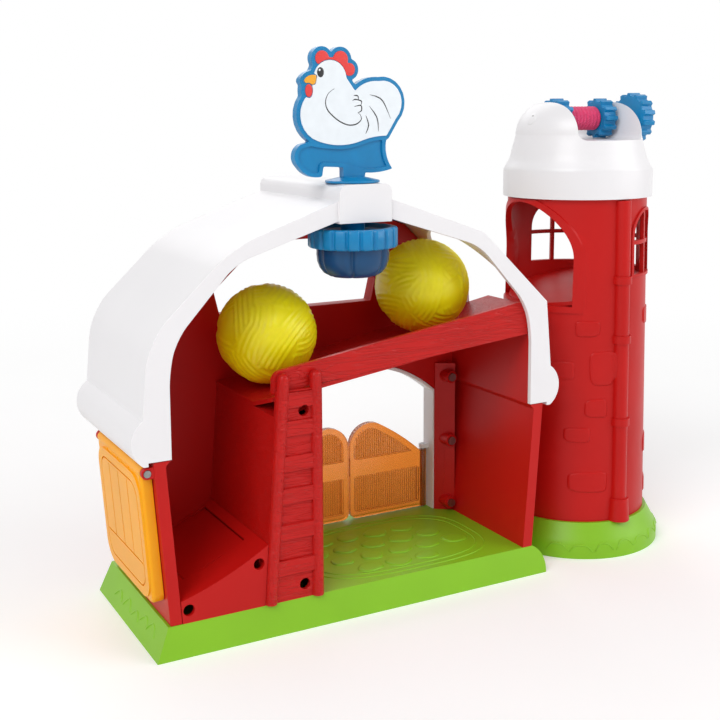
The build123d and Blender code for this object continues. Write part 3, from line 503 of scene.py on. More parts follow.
def grassTufts():
    low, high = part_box("barn_base")
    plinthLow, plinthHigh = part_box("silo_base")
    place = around("silo_base", siloAxis(), 90)
    pick = random.Random(3)
    bm = bmesh.new()
    for k in range(grass["siloTufts"]):
        angle = -168 + k * 336 / grass["siloTufts"]
        if abs(angle) > 150:
            continue
        wide, tall, foot = pick.uniform(6.2, 8.4), pick.uniform(3.6, 5.4), pick.uniform(4.4, 6.6)
        arc = [(angle - wide, foot), (angle - wide * 0.55, foot + tall * 0.85), (angle, foot + tall),
               (angle + wide * 0.55, foot + tall * 0.8), (angle + wide, foot + tall * 0.1)]
        addLine(bm, softCurve(arc), place, grass["lineWidthMm"], grass["liftMm"], stretch=(1.0, 1.0))
    for vert in bm.verts:
        for axis in (0, 1):
            vert.co[axis] = min(max(vert.co[axis], plinthLow[axis]), plinthHigh[axis])
    meshPiece("silo_grass", bm, green, "barn")
    left = facing("barn_base", (low[0] - 0.5, 0, 0), (0, 1, 0), (0, 0, 1), (1, 0, 0))
    bm = bmesh.new()
    for y in grass["barnTuftY"]:
        wide, tall, foot = pick.uniform(4.5, 6.5), pick.uniform(3.5, 5.0), pick.uniform(6.0, 9.0)
        arc = [(y - wide, foot), (y - wide * 0.5, foot + tall * 0.9), (y + wide * 0.2, foot + tall), (y + wide, foot)]
        addLine(bm, softCurve(arc), left, grass["lineWidthMm"], grass["liftMm"])
    meshPiece("bevel_grass", bm, green, "barn")


# field stones that stand a little proud of the silo wall: degrees round, then height in mm
siloStones = [(-129, -109, 146.5, 157), (-117, -95, 114, 137), (-120, -101.5, 92.6, 105), (-136, -115, 76, 86),
              (-132, -100, 42, 56), (-150, -128, 118, 130), (-8, 14, 148, 160), (-22, -2, 118, 131),
              (4, 26, 96, 110), (-14, 8, 70, 83), (8, 30, 44, 58), (44, 66, 138, 151), (58, 82, 104, 117),
              (40, 62, 72, 86), (70, 92, 50, 63), (100, 124, 128, 142), (112, 134, 84, 98), (92, 114, 26, 39),
              (-58, -38, 150, 162), (-52, -30, 60, 73), (-44, -24, 30, 43)]
stoneFinish = {"liftMm": 0.8}


def siloAxis():
    low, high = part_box("silo_cap")
    return (Vector(low) + Vector(high)) / 2


def siloFieldStones():
    place = around("silo_shell", siloAxis(), 90)
    bm = bmesh.new()
    for start, end, low, high in siloStones:
        midAngle, midHeight = (start + end) / 2, (low + high) / 2
        outline = []
        for k in range(28):
            a = 2 * math.pi * k / 28
            across = math.copysign(abs(math.cos(a)) ** 0.45, math.cos(a)) * (end - start) / 2
            along = math.copysign(abs(math.sin(a)) ** 0.45, math.sin(a)) * (high - low) / 2
            wobble = 1 + 0.04 * math.sin(3 * a + midHeight)
            outline.append((midAngle + across * wobble, midHeight + along * wobble))
        addPad(bm, outline, place, stoneFinish["liftMm"], sink=0.25)
    meshPiece("silo_stones", bm, red, "barn")


cobbledYard()
grassTufts()
siloFieldStones()
print("reliefs made")


roofForm = {"breakRoundMm": 15, "holedRoundMm": 2.5, "archRoundMm": 22, "segments": 7}


def roundedRoof():
    # the frame's roof with its creases rolled over as the mould leaves them
    bm = bmesh.new()
    bm.from_mesh(nodes["roof"].data)
    bmesh.ops.remove_doubles(bm, verts=bm.verts, dist=0.005 * mm)
    bmesh.ops.dissolve_limit(bm, angle_limit=math.radians(0.5), verts=bm.verts, edges=bm.edges)
    low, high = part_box("roof")
    depth = high[1] - low[1]

    def creases(lengthTest):
        found = []
        for edge in bm.edges:
            a, b = edge.verts[0].co, edge.verts[1].co
            if math.hypot(a.x - b.x, a.z - b.z) > 0.02 * mm or len(edge.link_faces) != 2:
                continue
            turn = math.degrees(edge.calc_face_angle())
            middleZ = (a.z + b.z) / 2
            if 12 < turn < 60 and low[2] + 0.045 < middleZ < high[2] - 0.024 and lengthTest(abs(a.y - b.y)):
                found.append(edge)
        return found
    arch = creases(lambda length: length < 0.004)
    if arch:
        bmesh.ops.bevel(bm, geom=arch, offset=roofForm["archRoundMm"] * mm, segments=roofForm["segments"],
                        profile=0.5, affect="EDGES", clamp_overlap=True)
    # the crease above the ball opening has little room beside it, so it is rolled over less
    for roundMm, holed in ((roofForm["holedRoundMm"], True), (roofForm["breakRoundMm"], False)):
        long = [edge for edge in creases(lambda length: length > 0.9 * depth)
                if (max(len(face.verts) for face in edge.link_faces) > 30) == holed]
        if long:
            bmesh.ops.bevel(bm, geom=long, offset=roundMm * mm, segments=roofForm["segments"],
                            profile=0.5, affect="EDGES", clamp_overlap=True)
    piece = meshPiece("rounded_roof", bm, white, "barn")
    roundEdges(piece, edgeRounding["roof"])
    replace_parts(piece, "roof")


roundedRoof()
print("roof made")


def traced(start, moves, size=1.0, steps=9):
    # outline from its corners: two numbers are a straight to a point, four are an arc through a point to one
    path = [np.array(start, float)]
    for move in moves:
        if len(move) == 2:
            path.append(np.array(move, float))
            continue
        a, b, c = path[-1], np.array(move[:2]), np.array(move[2:])
        d = 2 * (a[0] * (b[1] - c[1]) + b[0] * (c[1] - a[1]) + c[0] * (a[1] - b[1]))
        squares = [p @ p for p in (a, b, c)]
        hub = np.array((squares[0] * (b[1] - c[1]) + squares[1] * (c[1] - a[1]) + squares[2] * (a[1] - b[1]),
                        squares[0] * (c[0] - b[0]) + squares[1] * (a[0] - c[0]) + squares[2] * (b[0] - a[0]))) / d
        angles = [math.atan2(*(p - hub)[::-1]) for p in (a, b, c)]
        full = 2 * math.pi
        sweep, part = (angles[2] - angles[0]) % full, (angles[1] - angles[0]) % full
        if part > sweep:
            sweep -= full
        radius = np.linalg.norm(a - hub)
        path += [hub + radius * np.array((math.cos(angles[0] + sweep * k / steps),
                                          math.sin(angles[0] + sweep * k / steps))) for k in range(1, steps + 1)]
    return [p * size for p in path]


def gridOver(left, right, low, high, stepMm=0.5):
    return np.arange(left, right, stepMm), np.arange(low, high, stepMm)


def distanceTo(outline, grid):
    across, up = np.meshgrid(*grid, indexing="ij")
    nearest = np.full(across.shape, 1e9)
    inside = np.zeros(across.shape, bool)
    for (x0, z0), (x1, z1) in zip(outline, list(outline[1:]) + [outline[0]]):
        ex, ez = x1 - x0, z1 - z0
        if abs(ex) + abs(ez) < 1e-9:
            continue
        t = np.clip(((across - x0) * ex + (up - z0) * ez) / (ex * ex + ez * ez), 0, 1)
        nearest = np.minimum(nearest, np.hypot(across - x0 - t * ex, up - z0 - t * ez))
        if z0 != z1:
            inside ^= ((z0 > up) != (z1 > up)) & (across < ex * (up - z0) / ez + x0)
    return np.where(inside, -nearest, nearest)


def loopsOf(field, grid):
    # closed outlines where a field of distances passes through zero
    xs, zs = grid
    inside = field < 0
    links = {}
    busy = inside[:-1, :-1].astype(int) + inside[1:, :-1] + inside[:-1, 1:] + inside[1:, 1:]
    for i, j in np.argwhere((busy > 0) & (busy < 4)):
        corners = [(i, j), (i + 1, j), (i + 1, j + 1), (i, j + 1)]
        cuts = [frozenset((corners[k], corners[(k + 1) % 4])) for k in range(4)
                if inside[corners[k]] != inside[corners[(k + 1) % 4]]]
        for a, b in zip(cuts[::2], cuts[1::2]):
            links.setdefault(a, []).append(b)
            links.setdefault(b, []).append(a)
    loops = []
    while links:
        here = next(iter(links))
        loop = []
        while here in links:
            loop.append(here)
            nexts = links.pop(here)
            here = next((n for n in nexts if n in links), None)
        points = []
        for cut in loop:
            (i0, j0), (i1, j1) = sorted(cut)
            share = field[i0, j0] / (field[i0, j0] - field[i1, j1])
            points.append(np.array((xs[i0] + share * (xs[i1] - xs[i0]), zs[j0] + share * (zs[j1] - zs[j0]))))
        for turn in range(2):
            points = [(points[k - 1] + 2 * points[k] + points[(k + 1) % len(points)]) / 4 for k in range(len(points))]
        if len(points) > 12:
            loops.append(points[::2])
    return loops


def addPanel(bm, rims, sunk, half, depth, place):
    # flat plate with fields sunk in both faces; place(u, v, out) gives the point in metres
    for side in (-1, 1):
        def ring(loop, level):
            return [bm.verts.new(place(u, v, side * level)) for u, v in loop]

        def chain(verts):
            return [bm.edges.get((a, b)) or bm.edges.new((a, b)) for a, b in zip(verts, verts[1:] + verts[:1])]
        face, floorEdges, walls = [], [], []
        for loop in rims:
            verts = ring(loop, half)
            walls.append((verts, ring(loop, 0.0)))
            face += chain(verts)
        for loop in sunk:
            upper, lower = ring(loop, half), ring(loop, half - depth)
            walls.append((upper, lower))
            face += chain(upper)
            floorEdges.append(chain(lower))
        bmesh.ops.triangle_fill(bm, use_beauty=True, edges=face)
        for edges in floorEdges:
            bmesh.ops.triangle_fill(bm, use_beauty=True, edges=edges)
        for upper, lower in walls:
            for k in range(len(upper)):
                n = (k + 1) % len(upper)
                bm.faces.new((upper[k], upper[n], lower[n], lower[k]))
    bmesh.ops.remove_doubles(bm, verts=bm.verts, dist=0.001 * mm)
    bmesh.ops.recalc_face_normals(bm, faces=bm.faces)


def softPlate(name, bm, material, body, widthMm):
    piece = meshPiece(name, bm, material, body)
    roundEdges(piece, widthMm)
    return piece


# the weather vane's bird: sides as shares of its height over the foot
bird = {"heightMm": 70.0, "borderMm": 2.3, "halfMm": 2.5, "bannerSunkMm": 1.1, "gapMm": 0.35,
        "body": ((-0.071, 0.789), [(-0.200, 0.929, -0.357, 0.829), (-0.400, 0.671), (-0.483, 0.486, -0.331, 0.293),
                 (-0.150, 0.258, 0.050, 0.285), (0.180, 0.318, 0.297, 0.326), (0.386, 0.464),
                 (0.435, 0.640, 0.223, 0.766), (0.093, 0.746, 0.007, 0.686)]),
        "comb": [(-0.286, 0.943, 0.060), (-0.121, 0.936, 0.066), (-0.043, 0.857, 0.051)],
        "combRoot": [(-0.320, 0.870), (-0.286, 0.950), (-0.121, 0.950), (-0.014, 0.829), (-0.200, 0.800)],
        "beak": ((-0.350, 0.743), [(-0.420, 0.742, -0.450, 0.766), (-0.385, 0.812, -0.336, 0.807)]),
        "wattle": (-0.406, 0.690, 0.031, 0.052),
        "banner": ((-0.393, 0.289), [(-0.170, 0.262, 0.050, 0.290), (0.190, 0.328, 0.314, 0.343),
                   (0.295, 0.200, 0.357, 0.056), (0.170, 0.028, -0.103, 0.079), (-0.281, 0.089), (-0.293, 0.010),
                   (-0.400, 0.015, -0.500, 0.090), (-0.535, 0.190, -0.474, 0.271)]),
        "post": [(-0.10, -0.004), (0.10, -0.004), (0.10, 0.12), (-0.10, 0.12)]}


def weatherBird():
    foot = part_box("vane_foot")[1][2]
    centre = middle("vane_foot")
    tall = bird["heightMm"]
    grid = gridOver(-0.62 * tall, 0.55 * tall, -0.1 * tall, 1.12 * tall)

    def place(u, v, out):
        return Vector((centre.x + u * mm, centre.y + out * mm, foot + v * mm))

    def scaled(points):
        return [np.array(p) * tall for p in points]
    body = distanceTo(traced(*bird["body"], size=tall), grid)
    comb = distanceTo(scaled(bird["combRoot"]), grid)
    across, up = np.meshgrid(*grid, indexing="ij")
    for x, z, radius in bird["comb"]:
        comb = np.minimum(comb, np.hypot(across - x * tall, up - z * tall) - radius * tall)
    x, z, halfX, halfZ = [v * tall for v in bird["wattle"]]
    wattle = (np.hypot((across - x) / halfX, (up - z) / halfZ) - 1) * min(halfX, halfZ)
    beak = distanceTo(traced(*bird["beak"], size=tall), grid)
    banner = distanceTo(traced(*bird["banner"], size=tall), grid)
    post = distanceTo(scaled(bird["post"]), grid)
    shape = np.minimum(np.minimum(body, comb), np.minimum(beak, wattle)) - bird["borderMm"]
    plate = np.minimum(np.minimum(shape, banner), post)
    sunk = np.maximum(banner + bird["borderMm"], -(body - bird["borderMm"]))
    bm = bmesh.new()
    addPanel(bm, loopsOf(plate, grid), loopsOf(sunk, grid), bird["halfMm"], bird["bannerSunkMm"], place)
    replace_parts(softPlate("bird_plate", bm, blue, "weather_vane", 0.7), "rooster")
    gap = bird["gapMm"]
    beak = np.maximum(beak, -(wattle - gap))
    for name, field, material, proud in (
            ("bird_body", np.maximum(body, -(np.minimum(beak, wattle) - gap)), enamelWhite, 0.6),
            ("bird_comb", np.maximum(comb, -(body - gap)), enamelRed, 0.5),
            ("bird_wattle", wattle, enamelRed, 0.5), ("bird_beak", beak, enamelOrange, 0.5)):
        bm = bmesh.new()
        addPanel(bm, loopsOf(field, grid), [], bird["halfMm"] + proud, 0.0, place)
        softPlate(name, bm, material, "weather_vane", 0.35)


weatherBird()
print("bird made")


# swing leaves: mm from the line where they meet, and heights over the ground
leafForm = {"centreX": 40.5, "startMm": 0.5, "hingeMm": 58.9, "footMm": 19.3, "hingeHighMm": 59.5, "crownRadiusMm": 15.5,
            "peakMm": 84.5, "halfMm": 2.0, "sunkMm": 0.9, "borderMm": 4.0, "bandMm": (48.0, 60.0), "roundMm": 5.0,
            "barrelMm": 2.6}


def leafOutline():
    form = leafForm
    hub = (form["startMm"] + form["crownRadiusMm"], form["peakMm"] - form["crownRadiusMm"])
    turn = math.radians(60)
    crest = (hub[0] + form["crownRadiusMm"] * math.cos(turn), hub[1] + form["crownRadiusMm"] * math.sin(turn))
    shoulder = (form["hingeMm"] - form["barrelMm"] - 0.5, form["hingeHighMm"])
    bow = ((crest[0] + shoulder[0]) / 2 + 0.7, (crest[1] + shoulder[1]) / 2 + 0.9)
    over = math.radians(120)
    top = (hub[0] + form["crownRadiusMm"] * math.cos(over), hub[1] + form["crownRadiusMm"] * math.sin(over))
    return traced((form["startMm"] + form["roundMm"], form["footMm"]),
                  [(form["hingeMm"], form["footMm"]), (form["hingeMm"], form["hingeHighMm"]), shoulder,
                   (*bow, *crest), (*top, form["startMm"], hub[1]), (form["startMm"], form["footMm"] + form["roundMm"]),
                   (form["startMm"] + 0.3 * form["roundMm"], form["footMm"] + 0.3 * form["roundMm"],
                    form["startMm"] + form["roundMm"], form["footMm"])])


def swingLeaf(node, body, side):
    form = leafForm
    midY = middle(node).y
    grid = gridOver(-2, form["hingeMm"] + 3, form["footMm"] - 2, form["peakMm"] + 2)
    outline = distanceTo(leafOutline(), grid)
    up = np.meshgrid(*grid, indexing="ij")[1]
    band = np.maximum(form["bandMm"][0] - up, up - form["bandMm"][1])
    fields = np.maximum(outline + form["borderMm"], -band)

    def place(u, v, out):
        return Vector(((form["centreX"] + side * u) * mm, midY + out * mm, v * mm))
    bm = bmesh.new()
    sunk = loopsOf(fields, grid)
    addPanel(bm, loopsOf(outline, grid), sunk, form["halfMm"], form["sunkMm"], place)
    tall = form["hingeHighMm"] - form["footMm"]
    barrel = bmesh.ops.create_cone(bm, cap_ends=True, segments=28, radius1=form["barrelMm"] * mm,
                                   radius2=form["barrelMm"] * mm, depth=tall * mm)
    bmesh.ops.translate(bm, verts=barrel["verts"], vec=place(form["hingeMm"], form["footMm"] + tall / 2, 0))
    piece = softPlate(node + "_panel", bm, tinted, body, 0.45)
    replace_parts(piece, node)


swingLeaf("leaf_left", "left_leaf", -1)
swingLeaf("leaf_right", "right_leaf", 1)
print("leaves made")


# fluted wheel and six lobed bell under the ridge
bellForm = {"rimMm": 25.8, "rimHigh": 227.6, "rimLow": 216.0, "flutes": 20, "fluteMm": 1.5, "lobes": 6, "lobeShare": 0.13,
            "profile": [(20.9, 217.0), (21.0, 212.0), (20.6, 208.0), (19.3, 204.4), (17.0, 201.4), (13.4, 199.4),
                        (8.0, 198.7), (0.01, 198.7)]}


def lathe(bm, profile, centre, radiusAt, count=160):
    rows = []
    for radius, height in profile:
        rows.append([bm.verts.new((centre.x + radiusAt(radius, 2 * math.pi * k / count) * math.cos(2 * math.pi * k / count) * mm,
                                   centre.y + radiusAt(radius, 2 * math.pi * k / count) * math.sin(2 * math.pi * k / count) * mm,
                                   height * mm)) for k in range(count)])
    for lower, upper in zip(rows, rows[1:]):
        for k in range(count):
            n = (k + 1) % count
            bm.faces.new((lower[k], upper[k], upper[n], lower[n]))
    bmesh.ops.recalc_face_normals(bm, faces=bm.faces)


def vaneBell():
    centre = middle("impeller")
    form = bellForm

    def lobed(radius, angle):
        crease = (1 - abs(math.sin(form["lobes"] * angle / 2))) ** 5
        return radius * (1 - form["lobeShare"] * crease)

    def fluted(radius, angle):
        if radius < 0.9 * form["rimMm"]:
            return radius
        return radius - form["fluteMm"] * max(0.0, math.cos(form["flutes"] * angle)) ** 3
    bm = bmesh.new()
    lathe(bm, form["profile"], centre, lobed)
    # the bell bowl gets the darker copy of the blue: painted shade
    bell = meshPiece("bell_bowl", bm, shadedBlue, "weather_vane")
    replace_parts(bell, "impeller")
    bm = bmesh.new()
    rim, low, high = form["rimMm"], form["rimLow"], form["rimHigh"]
    lathe(bm, [(0.01, low), (rim - 1.6, low), (rim - 0.5, low + 0.3), (rim, low + 1.2), (rim, high - 1.2),
               (rim - 0.5, high - 0.3), (rim - 1.6, high), (rim - 4.0, high), (rim - 4.0, high - 2.0), (7.0, high - 2.0),
               (7.0, high + 2.6), (0.01, high + 2.6)], centre, fluted, 400)
    meshPiece("bell_rim", bm, blue, "weather_vane")


vaneBell()
print("bell made")


# axle that ends inside the left cheek of the cap, with the moulded pip over its end
axleForm = {"radiusMm": 2.4, "leftMm": -38.0, "pipMm": 4.2}


def hoistAxle():
    low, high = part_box("hoist_axle")
    centre = (Vector(low) + Vector(high)) / 2
    silo = siloAxis()
    bm = bmesh.new()
    left = silo.x + axleForm["leftMm"] * mm
    rod = bmesh.ops.create_cone(bm, cap_ends=True, segments=40, radius1=axleForm["radiusMm"] * mm,
                                radius2=axleForm["radiusMm"] * mm, depth=high[0] - left)
    bmesh.ops.rotate(bm, verts=rod["verts"], matrix=Matrix.Rotation(math.pi / 2, 3, "Y"))
    bmesh.ops.translate(bm, verts=rod["verts"], vec=((high[0] + left) / 2, centre.y, centre.z))
    piece = softPlate("axle_rod", bm, zinc, "silo_hoist", 0.4)
    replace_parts(piece, "hoist_axle")
    tree = surfaceOf("silo_cap")
    radius = axleForm["pipMm"] * mm
    ringSpots = []
    for k in range(24):
        a = 2 * math.pi * k / 24
        hit = tree.ray_cast(Vector((low[0] - 0.05, centre.y + radius * math.cos(a), centre.z + radius * math.sin(a))),
                            Vector((1, 0, 0)))[0]
        ringSpots.append(hit)
    hub = sum(ringSpots, Vector()) / len(ringSpots)
    bm = bmesh.new()
    rows = []
    for share, lift in ((1.0, -0.25), (0.96, 0.05), (0.85, 0.35), (0.6, 0.55), (0.3, 0.6)):
        rows.append([bm.verts.new(hub + (spot - hub) * share - Vector((lift * mm, 0, 0))) for spot in ringSpots])
    for outer, inner in zip(rows, rows[1:]):
        for k in range(24):
            n = (k + 1) % 24
            bm.faces.new((outer[k], outer[n], inner[n], inner[k]))
    bm.faces.new(rows[-1])
    bmesh.ops.recalc_face_normals(bm, faces=bm.faces)
    meshPiece("cap_pip", bm, white, "barn")


hoistAxle()


# drum wound like twine between the crank wheels
drumForm = {"turns": 9, "radiusMm": 8.0, "dipMm": 0.9}


def woundDrum():
    low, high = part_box("hoist_drum")
    centre = middle("hoist_drum")
    length = high[0] - low[0]
    bm = bmesh.new()
    rows = []
    count, steps = 72, 12 * drumForm["turns"]
    for step in range(steps + 1):
        share = step / steps
        radius = drumForm["radiusMm"] - drumForm["dipMm"] * (1 - abs(math.sin(share * math.pi * drumForm["turns"])))
        rows.append([bm.verts.new((low[0] + share * length,
                                   centre.y + radius * mm * math.cos(2 * math.pi * k / count),
                                   centre.z + radius * mm * math.sin(2 * math.pi * k / count))) for k in range(count)])
    for first, second in zip(rows, rows[1:]):
        for k in range(count):
            n = (k + 1) % count
            bm.faces.new((first[k], first[n], second[n], second[k]))
    bm.faces.new(rows[0][::-1])
    bm.faces.new(rows[-1])
    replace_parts(meshPiece("wound_drum", bm, pink, "silo_hoist"), "hoist_drum")


woundDrum()


# flap door face: border, planks with rounded tops and a bottom batten, cut as narrow grooves
flap = {"cornerMm": 12.5, "thickMm": 1.0, "borderMm": 5.5, "grooveMm": 0.9, "planks": 4, "battenMm": 22.0, "insetMm": 0.9}


def flapFace():
    low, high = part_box("exit_door")
    tree = surfaceOf("exit_door")
    spots = [tree.ray_cast(Vector((low[0] - 0.1, middle("exit_door").y + 0.008, z)), Vector((1, 0, 0)))[0]
             for z in (low[2] + 0.015, high[2] - 0.02)]
    up = (spots[1] - spots[0]).normalized()
    across = Vector((0, -1, 0))
    out = across.cross(up)
    if out.x > 0:
        out = -out
    wide, tall = (high[1] - low[1]) / mm, (high[2] - low[2]) / mm / up.z
    start = spots[0] + up * ((low[2] - spots[0].z) / up.z)
    start.y = (low[1] + high[1]) / 2

    def place(u, v, level):
        return start + (across * u + up * v + out * level) * mm
    half, inset, corner = wide / 2 - flap["insetMm"], flap["insetMm"], flap["cornerMm"]
    foot, head = inset + 0.8, tall - inset - 5.0
    grid = gridOver(-half - 2, half + 2, foot - 2, head + 2, 0.45)
    acrossGrid, upGrid = np.meshgrid(*grid, indexing="ij")
    midV, halfV = (foot + head) / 2, (head - foot) / 2

    def roundedBox(shrink, radius):
        dx = np.abs(acrossGrid) - (half - shrink - radius)
        dz = np.abs(upGrid - midV) - (halfV - shrink - radius)
        return np.hypot(np.maximum(dx, 0), np.maximum(dz, 0)) + np.minimum(np.maximum(dx, dz), 0) - radius
    rim = roundedBox(0, corner)
    inner = roundedBox(flap["borderMm"], corner - flap["borderMm"] * 0.6)
    grooves = np.abs(inner) - flap["grooveMm"] / 2
    plankTop = roundedBox(flap["borderMm"] * 1.8, corner * 0.7)
    lines = np.abs(upGrid - flap["battenMm"]) - flap["grooveMm"] / 2
    for k in range(1, flap["planks"]):
        x = (k / flap["planks"] - 0.5) * 2 * (half - flap["borderMm"])
        lines = np.minimum(lines, np.maximum(np.abs(acrossGrid - x) - flap["grooveMm"] / 2, flap["battenMm"] - upGrid))
    grooves = np.minimum(grooves, np.maximum(lines, inner + flap["grooveMm"]))
    plate = np.maximum(rim, -grooves)
    bm = bmesh.new()
    loops = loopsOf(plate, grid)
    for level in (flap["thickMm"],):
        tops = [[bm.verts.new(place(u, v, level)) for u, v in loop] for loop in loops]
        feet = [[bm.verts.new(place(u, v, -0.3)) for u, v in loop] for loop in loops]
        edges = [bm.edges.new((a, b)) for verts in tops for a, b in zip(verts, verts[1:] + verts[:1])]
        bmesh.ops.triangle_fill(bm, use_beauty=True, edges=edges)
        for upper, lower in zip(tops, feet):
            for k in range(len(upper)):
                n = (k + 1) % len(upper)
                bm.faces.new((upper[k], upper[n], lower[n], lower[k]))
    bmesh.ops.recalc_face_normals(bm, faces=bm.faces)
    softPlate("flap_face", bm, amber, "exit_flap", 0.25)


flapFace()
print("flap made")


# painted lines of the bird: X from the vane's axis and height above its foot, in mm
birdPaint = {"lineMm": 0.85, "paintMm": 0.08,
             "wing": [(-12.7, 49.4), (-16.6, 46.6), (-18.3, 42.4), (-17.4, 38.2), (-14.3, 34.7), (-9.4, 31.2),
                      (-4, 29.2), (1.0, 29.6), (4.2, 32), (3.8, 34.6), (2, 35.9)],
             "feathers": [[(2, 35.9), (4.4, 37.2), (4.0, 40.0), (-0.2, 39.4)], [(4.0, 40.0), (4.4, 42.4), (0.6, 43.4), (-1.4, 42.6)],
                          [(2.6, 43.4), (2.0, 45.4), (-0.6, 45.6)],
                          [(7.2, 34.5), (9, 29), (7.1, 24.1)], [(9.5, 39.7), (14.5, 33), (15.5, 25.3)],
                          [(9.8, 46), (15.2, 44.6), (19, 41.5), (23.5, 32.4)]],
             "eye": (-21.3, 58.3, 2.15, 2.8), "glint": (-21.9, 59.5, 0.6, 0.7),
             "beakLine": [(-31.0, 54.0), (-28.2, 53.4), (-25.0, 54.2)]}


def oval(x, z, halfX, halfZ, corners=28):
    return [(x + math.cos(2 * math.pi * k / corners) * halfX, z + math.sin(2 * math.pi * k / corners) * halfZ)
            for k in range(corners)]


def paintBird():
    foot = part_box("vane_foot")[1][2]
    centre = middle("vane_foot")
    for sideName, side in (("near", -1), ("far", 1)):
        def place(u, v, liftMm):
            return Vector((centre.x + u * mm, centre.y + side * (bird["halfMm"] + 0.6 + liftMm) * mm, foot + v * mm))
        bm = bmesh.new()
        for stroke in [birdPaint["wing"]] + birdPaint["feathers"]:
            addLine(bm, softCurve(stroke), place, birdPaint["lineMm"], birdPaint["paintMm"], sink=0.02)
        addPad(bm, oval(*birdPaint["eye"]), place, birdPaint["paintMm"] * 2, sink=0.02)
        meshPiece("bird_lines_" + sideName, bm, enamelBlack, "weather_vane")
        bm = bmesh.new()
        addPad(bm, oval(*birdPaint["glint"], corners=14), place, birdPaint["paintMm"] * 3.5, sink=0.0)
        meshPiece("eye_glint_" + sideName, bm, enamelWhite, "weather_vane")


paintBird()
print("bird painted")


studio = {"worldStrength": 0.44, "keyWatts": 22.0, "fillWatts": 14.0, "rimWatts": 6.0,
          "paperLift": 0.15, "fadeStartM": 0.45, "fadeEndM": 1.1}


def paperFloor():
    # matt paper sweep: the camera sees it white, with the toy's soft shadow kept
    material, tree, shader, coords = newMaterial("paperFloor", Roughness=0.95, IOR=1.45)
    shader.inputs["Specular IOR Level"].default_value = 0.0
    pigment(tree, coords, shader, "#FAFAFA", 0.01, 90)
    path = addNode(tree, "ShaderNodeLightPath", {})
    seen = addNode(tree, "ShaderNodeMath", {"operation": "MAXIMUM"}, {0: (path, "Is Camera Ray"), 1: (path, "Is Glossy Ray")})
    watched = addNode(tree, "ShaderNodeMath", {"operation": "MAXIMUM"}, {0: (seen, "Value"), 1: (path, "Is Transmission Ray")})
    lifted = addNode(tree, "ShaderNodeMath", {"operation": "MULTIPLY", 1: studio["paperLift"]}, {0: (watched, "Value")})
    lift = addNode(tree, "ShaderNodeEmission", {"Color": (1, 1, 1, 1)}, {"Strength": (lifted, "Value")})
    near = addNode(tree, "ShaderNodeAddShader", {})
    tree.links.new(shader.outputs[0], near.inputs[0])
    tree.links.new(lift.outputs[0], near.inputs[1])
    away = addNode(tree, "ShaderNodeVectorMath", {"operation": "LENGTH"}, {0: (coords, "Object")})
    fade = addNode(tree, "ShaderNodeMapRange", {"From Min": studio["fadeStartM"], "From Max": studio["fadeEndM"],
                                                "interpolation_type": "SMOOTHSTEP"}, {"Value": (away, "Value")})
    share = addNode(tree, "ShaderNodeMath", {"operation": "MULTIPLY"}, {0: (fade, "Result"), 1: (watched, "Value")})
    plain = addNode(tree, "ShaderNodeEmission", {"Color": (1, 1, 1, 1), "Strength": 1.0})
    mix = addNode(tree, "ShaderNodeMixShader", {}, {"Fac": (share, "Value")})
    tree.links.new(near.outputs[0], mix.inputs[1])
    tree.links.new(plain.outputs[0], mix.inputs[2])
    tree.links.new(mix.outputs[0], tree.nodes["Material Output"].inputs["Surface"])
    return material


def floor():
    bm = bmesh.new()
    bmesh.ops.create_grid(bm, x_segments=24, y_segments=24, size=6.0)
    mesh = bpy.data.meshes.new("floor")
    bm.to_mesh(mesh)
    bm.free()
    obj = bpy.data.objects.new("floor", mesh)
    obj.data.materials.append(paperFloor())
    bpy.context.scene.collection.objects.link(obj)


def lamp(name, place, target, sizeM, watts):
    light = bpy.data.lights.new(name, "AREA")
    light.size = sizeM
    light.energy = watts
    obj = bpy.data.objects.new(name, light)
    bpy.context.scene.collection.objects.link(obj)
    obj.location = place
    obj.rotation_euler = (Vector(target) - Vector(place)).to_track_quat("-Z", "Y").to_euler()


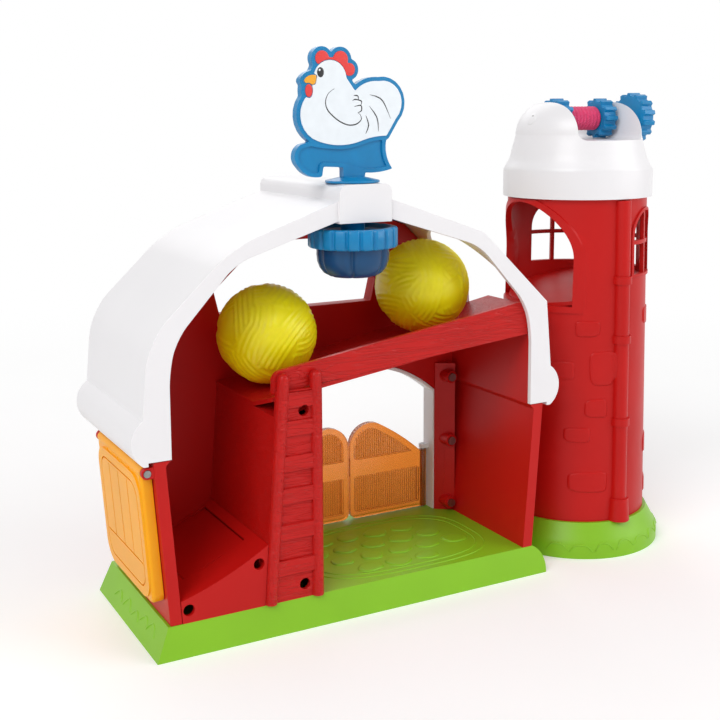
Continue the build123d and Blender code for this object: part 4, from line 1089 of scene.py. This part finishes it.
def studioWorld():
    world = bpy.data.worlds.new("studioWorld")
    bpy.context.scene.world = world
    world.use_nodes = True
    tree = world.node_tree
    base = tree.nodes["Background"]
    base.inputs["Color"].default_value = (1, 1, 1, 1)
    base.inputs["Strength"].default_value = studio["worldStrength"]
    seen = addNode(tree, "ShaderNodeBackground", {"Color": (1, 1, 1, 1), "Strength": 1.0})
    path = addNode(tree, "ShaderNodeLightPath", {})
    seenOrMirrored = addNode(tree, "ShaderNodeMath", {"operation": "MAXIMUM"},
                             {0: (path, "Is Camera Ray"), 1: (path, "Is Glossy Ray")})
    watched = addNode(tree, "ShaderNodeMath", {"operation": "MAXIMUM"},
                      {0: (seenOrMirrored, "Value"), 1: (path, "Is Transmission Ray")})
    mix = addNode(tree, "ShaderNodeMixShader", {}, {"Fac": (watched, "Value")})
    tree.links.new(base.outputs[0], mix.inputs[1])
    tree.links.new(seen.outputs[0], mix.inputs[2])
    tree.links.new(mix.outputs[0], tree.nodes["World Output"].inputs["Surface"])


cameraPlan = {"placeMm": (-309.4, -606.4, 292.2), "headingDeg": 27.4, "pitchDeg": 7.9, "rollDeg": -0.5,
              "lensMm": 56.67, "shiftX": 0.0417, "shiftY": -0.125}


def photoCamera():
    camera = bpy.data.cameras.new("photoCamera")
    camera.sensor_width = 36
    camera.lens = cameraPlan["lensMm"]
    camera.shift_x = cameraPlan["shiftX"]
    camera.shift_y = cameraPlan["shiftY"]
    camera.clip_start = 0.01
    obj = bpy.data.objects.new("photoCamera", camera)
    bpy.context.scene.collection.objects.link(obj)
    turn = Matrix.Rotation(-math.radians(cameraPlan["headingDeg"]), 4, "Z")
    tilt = Matrix.Rotation(math.radians(90 - cameraPlan["pitchDeg"]), 4, "X")
    roll = Matrix.Rotation(math.radians(cameraPlan["rollDeg"]), 4, "Z")
    obj.matrix_world = Matrix.Translation(Vector(cameraPlan["placeMm"]) * mm) @ turn @ tilt @ roll
    bpy.context.scene.camera = obj


floor()
studioWorld()
lamp("keyLamp", (-1.35, -0.95, 1.5), (0, 0, 0.12), 1.2, studio["keyWatts"])
lamp("fillLamp", (1.4, -1.1, 0.9), (0.05, 0, 0.12), 1.4, studio["fillWatts"])
lamp("rimLamp", (0.3, 1.4, 1.3), (0, 0, 0.15), 1.2, studio["rimWatts"])
photoCamera()
bpy.context.scene.view_settings.view_transform = "Standard"
print("studio set")
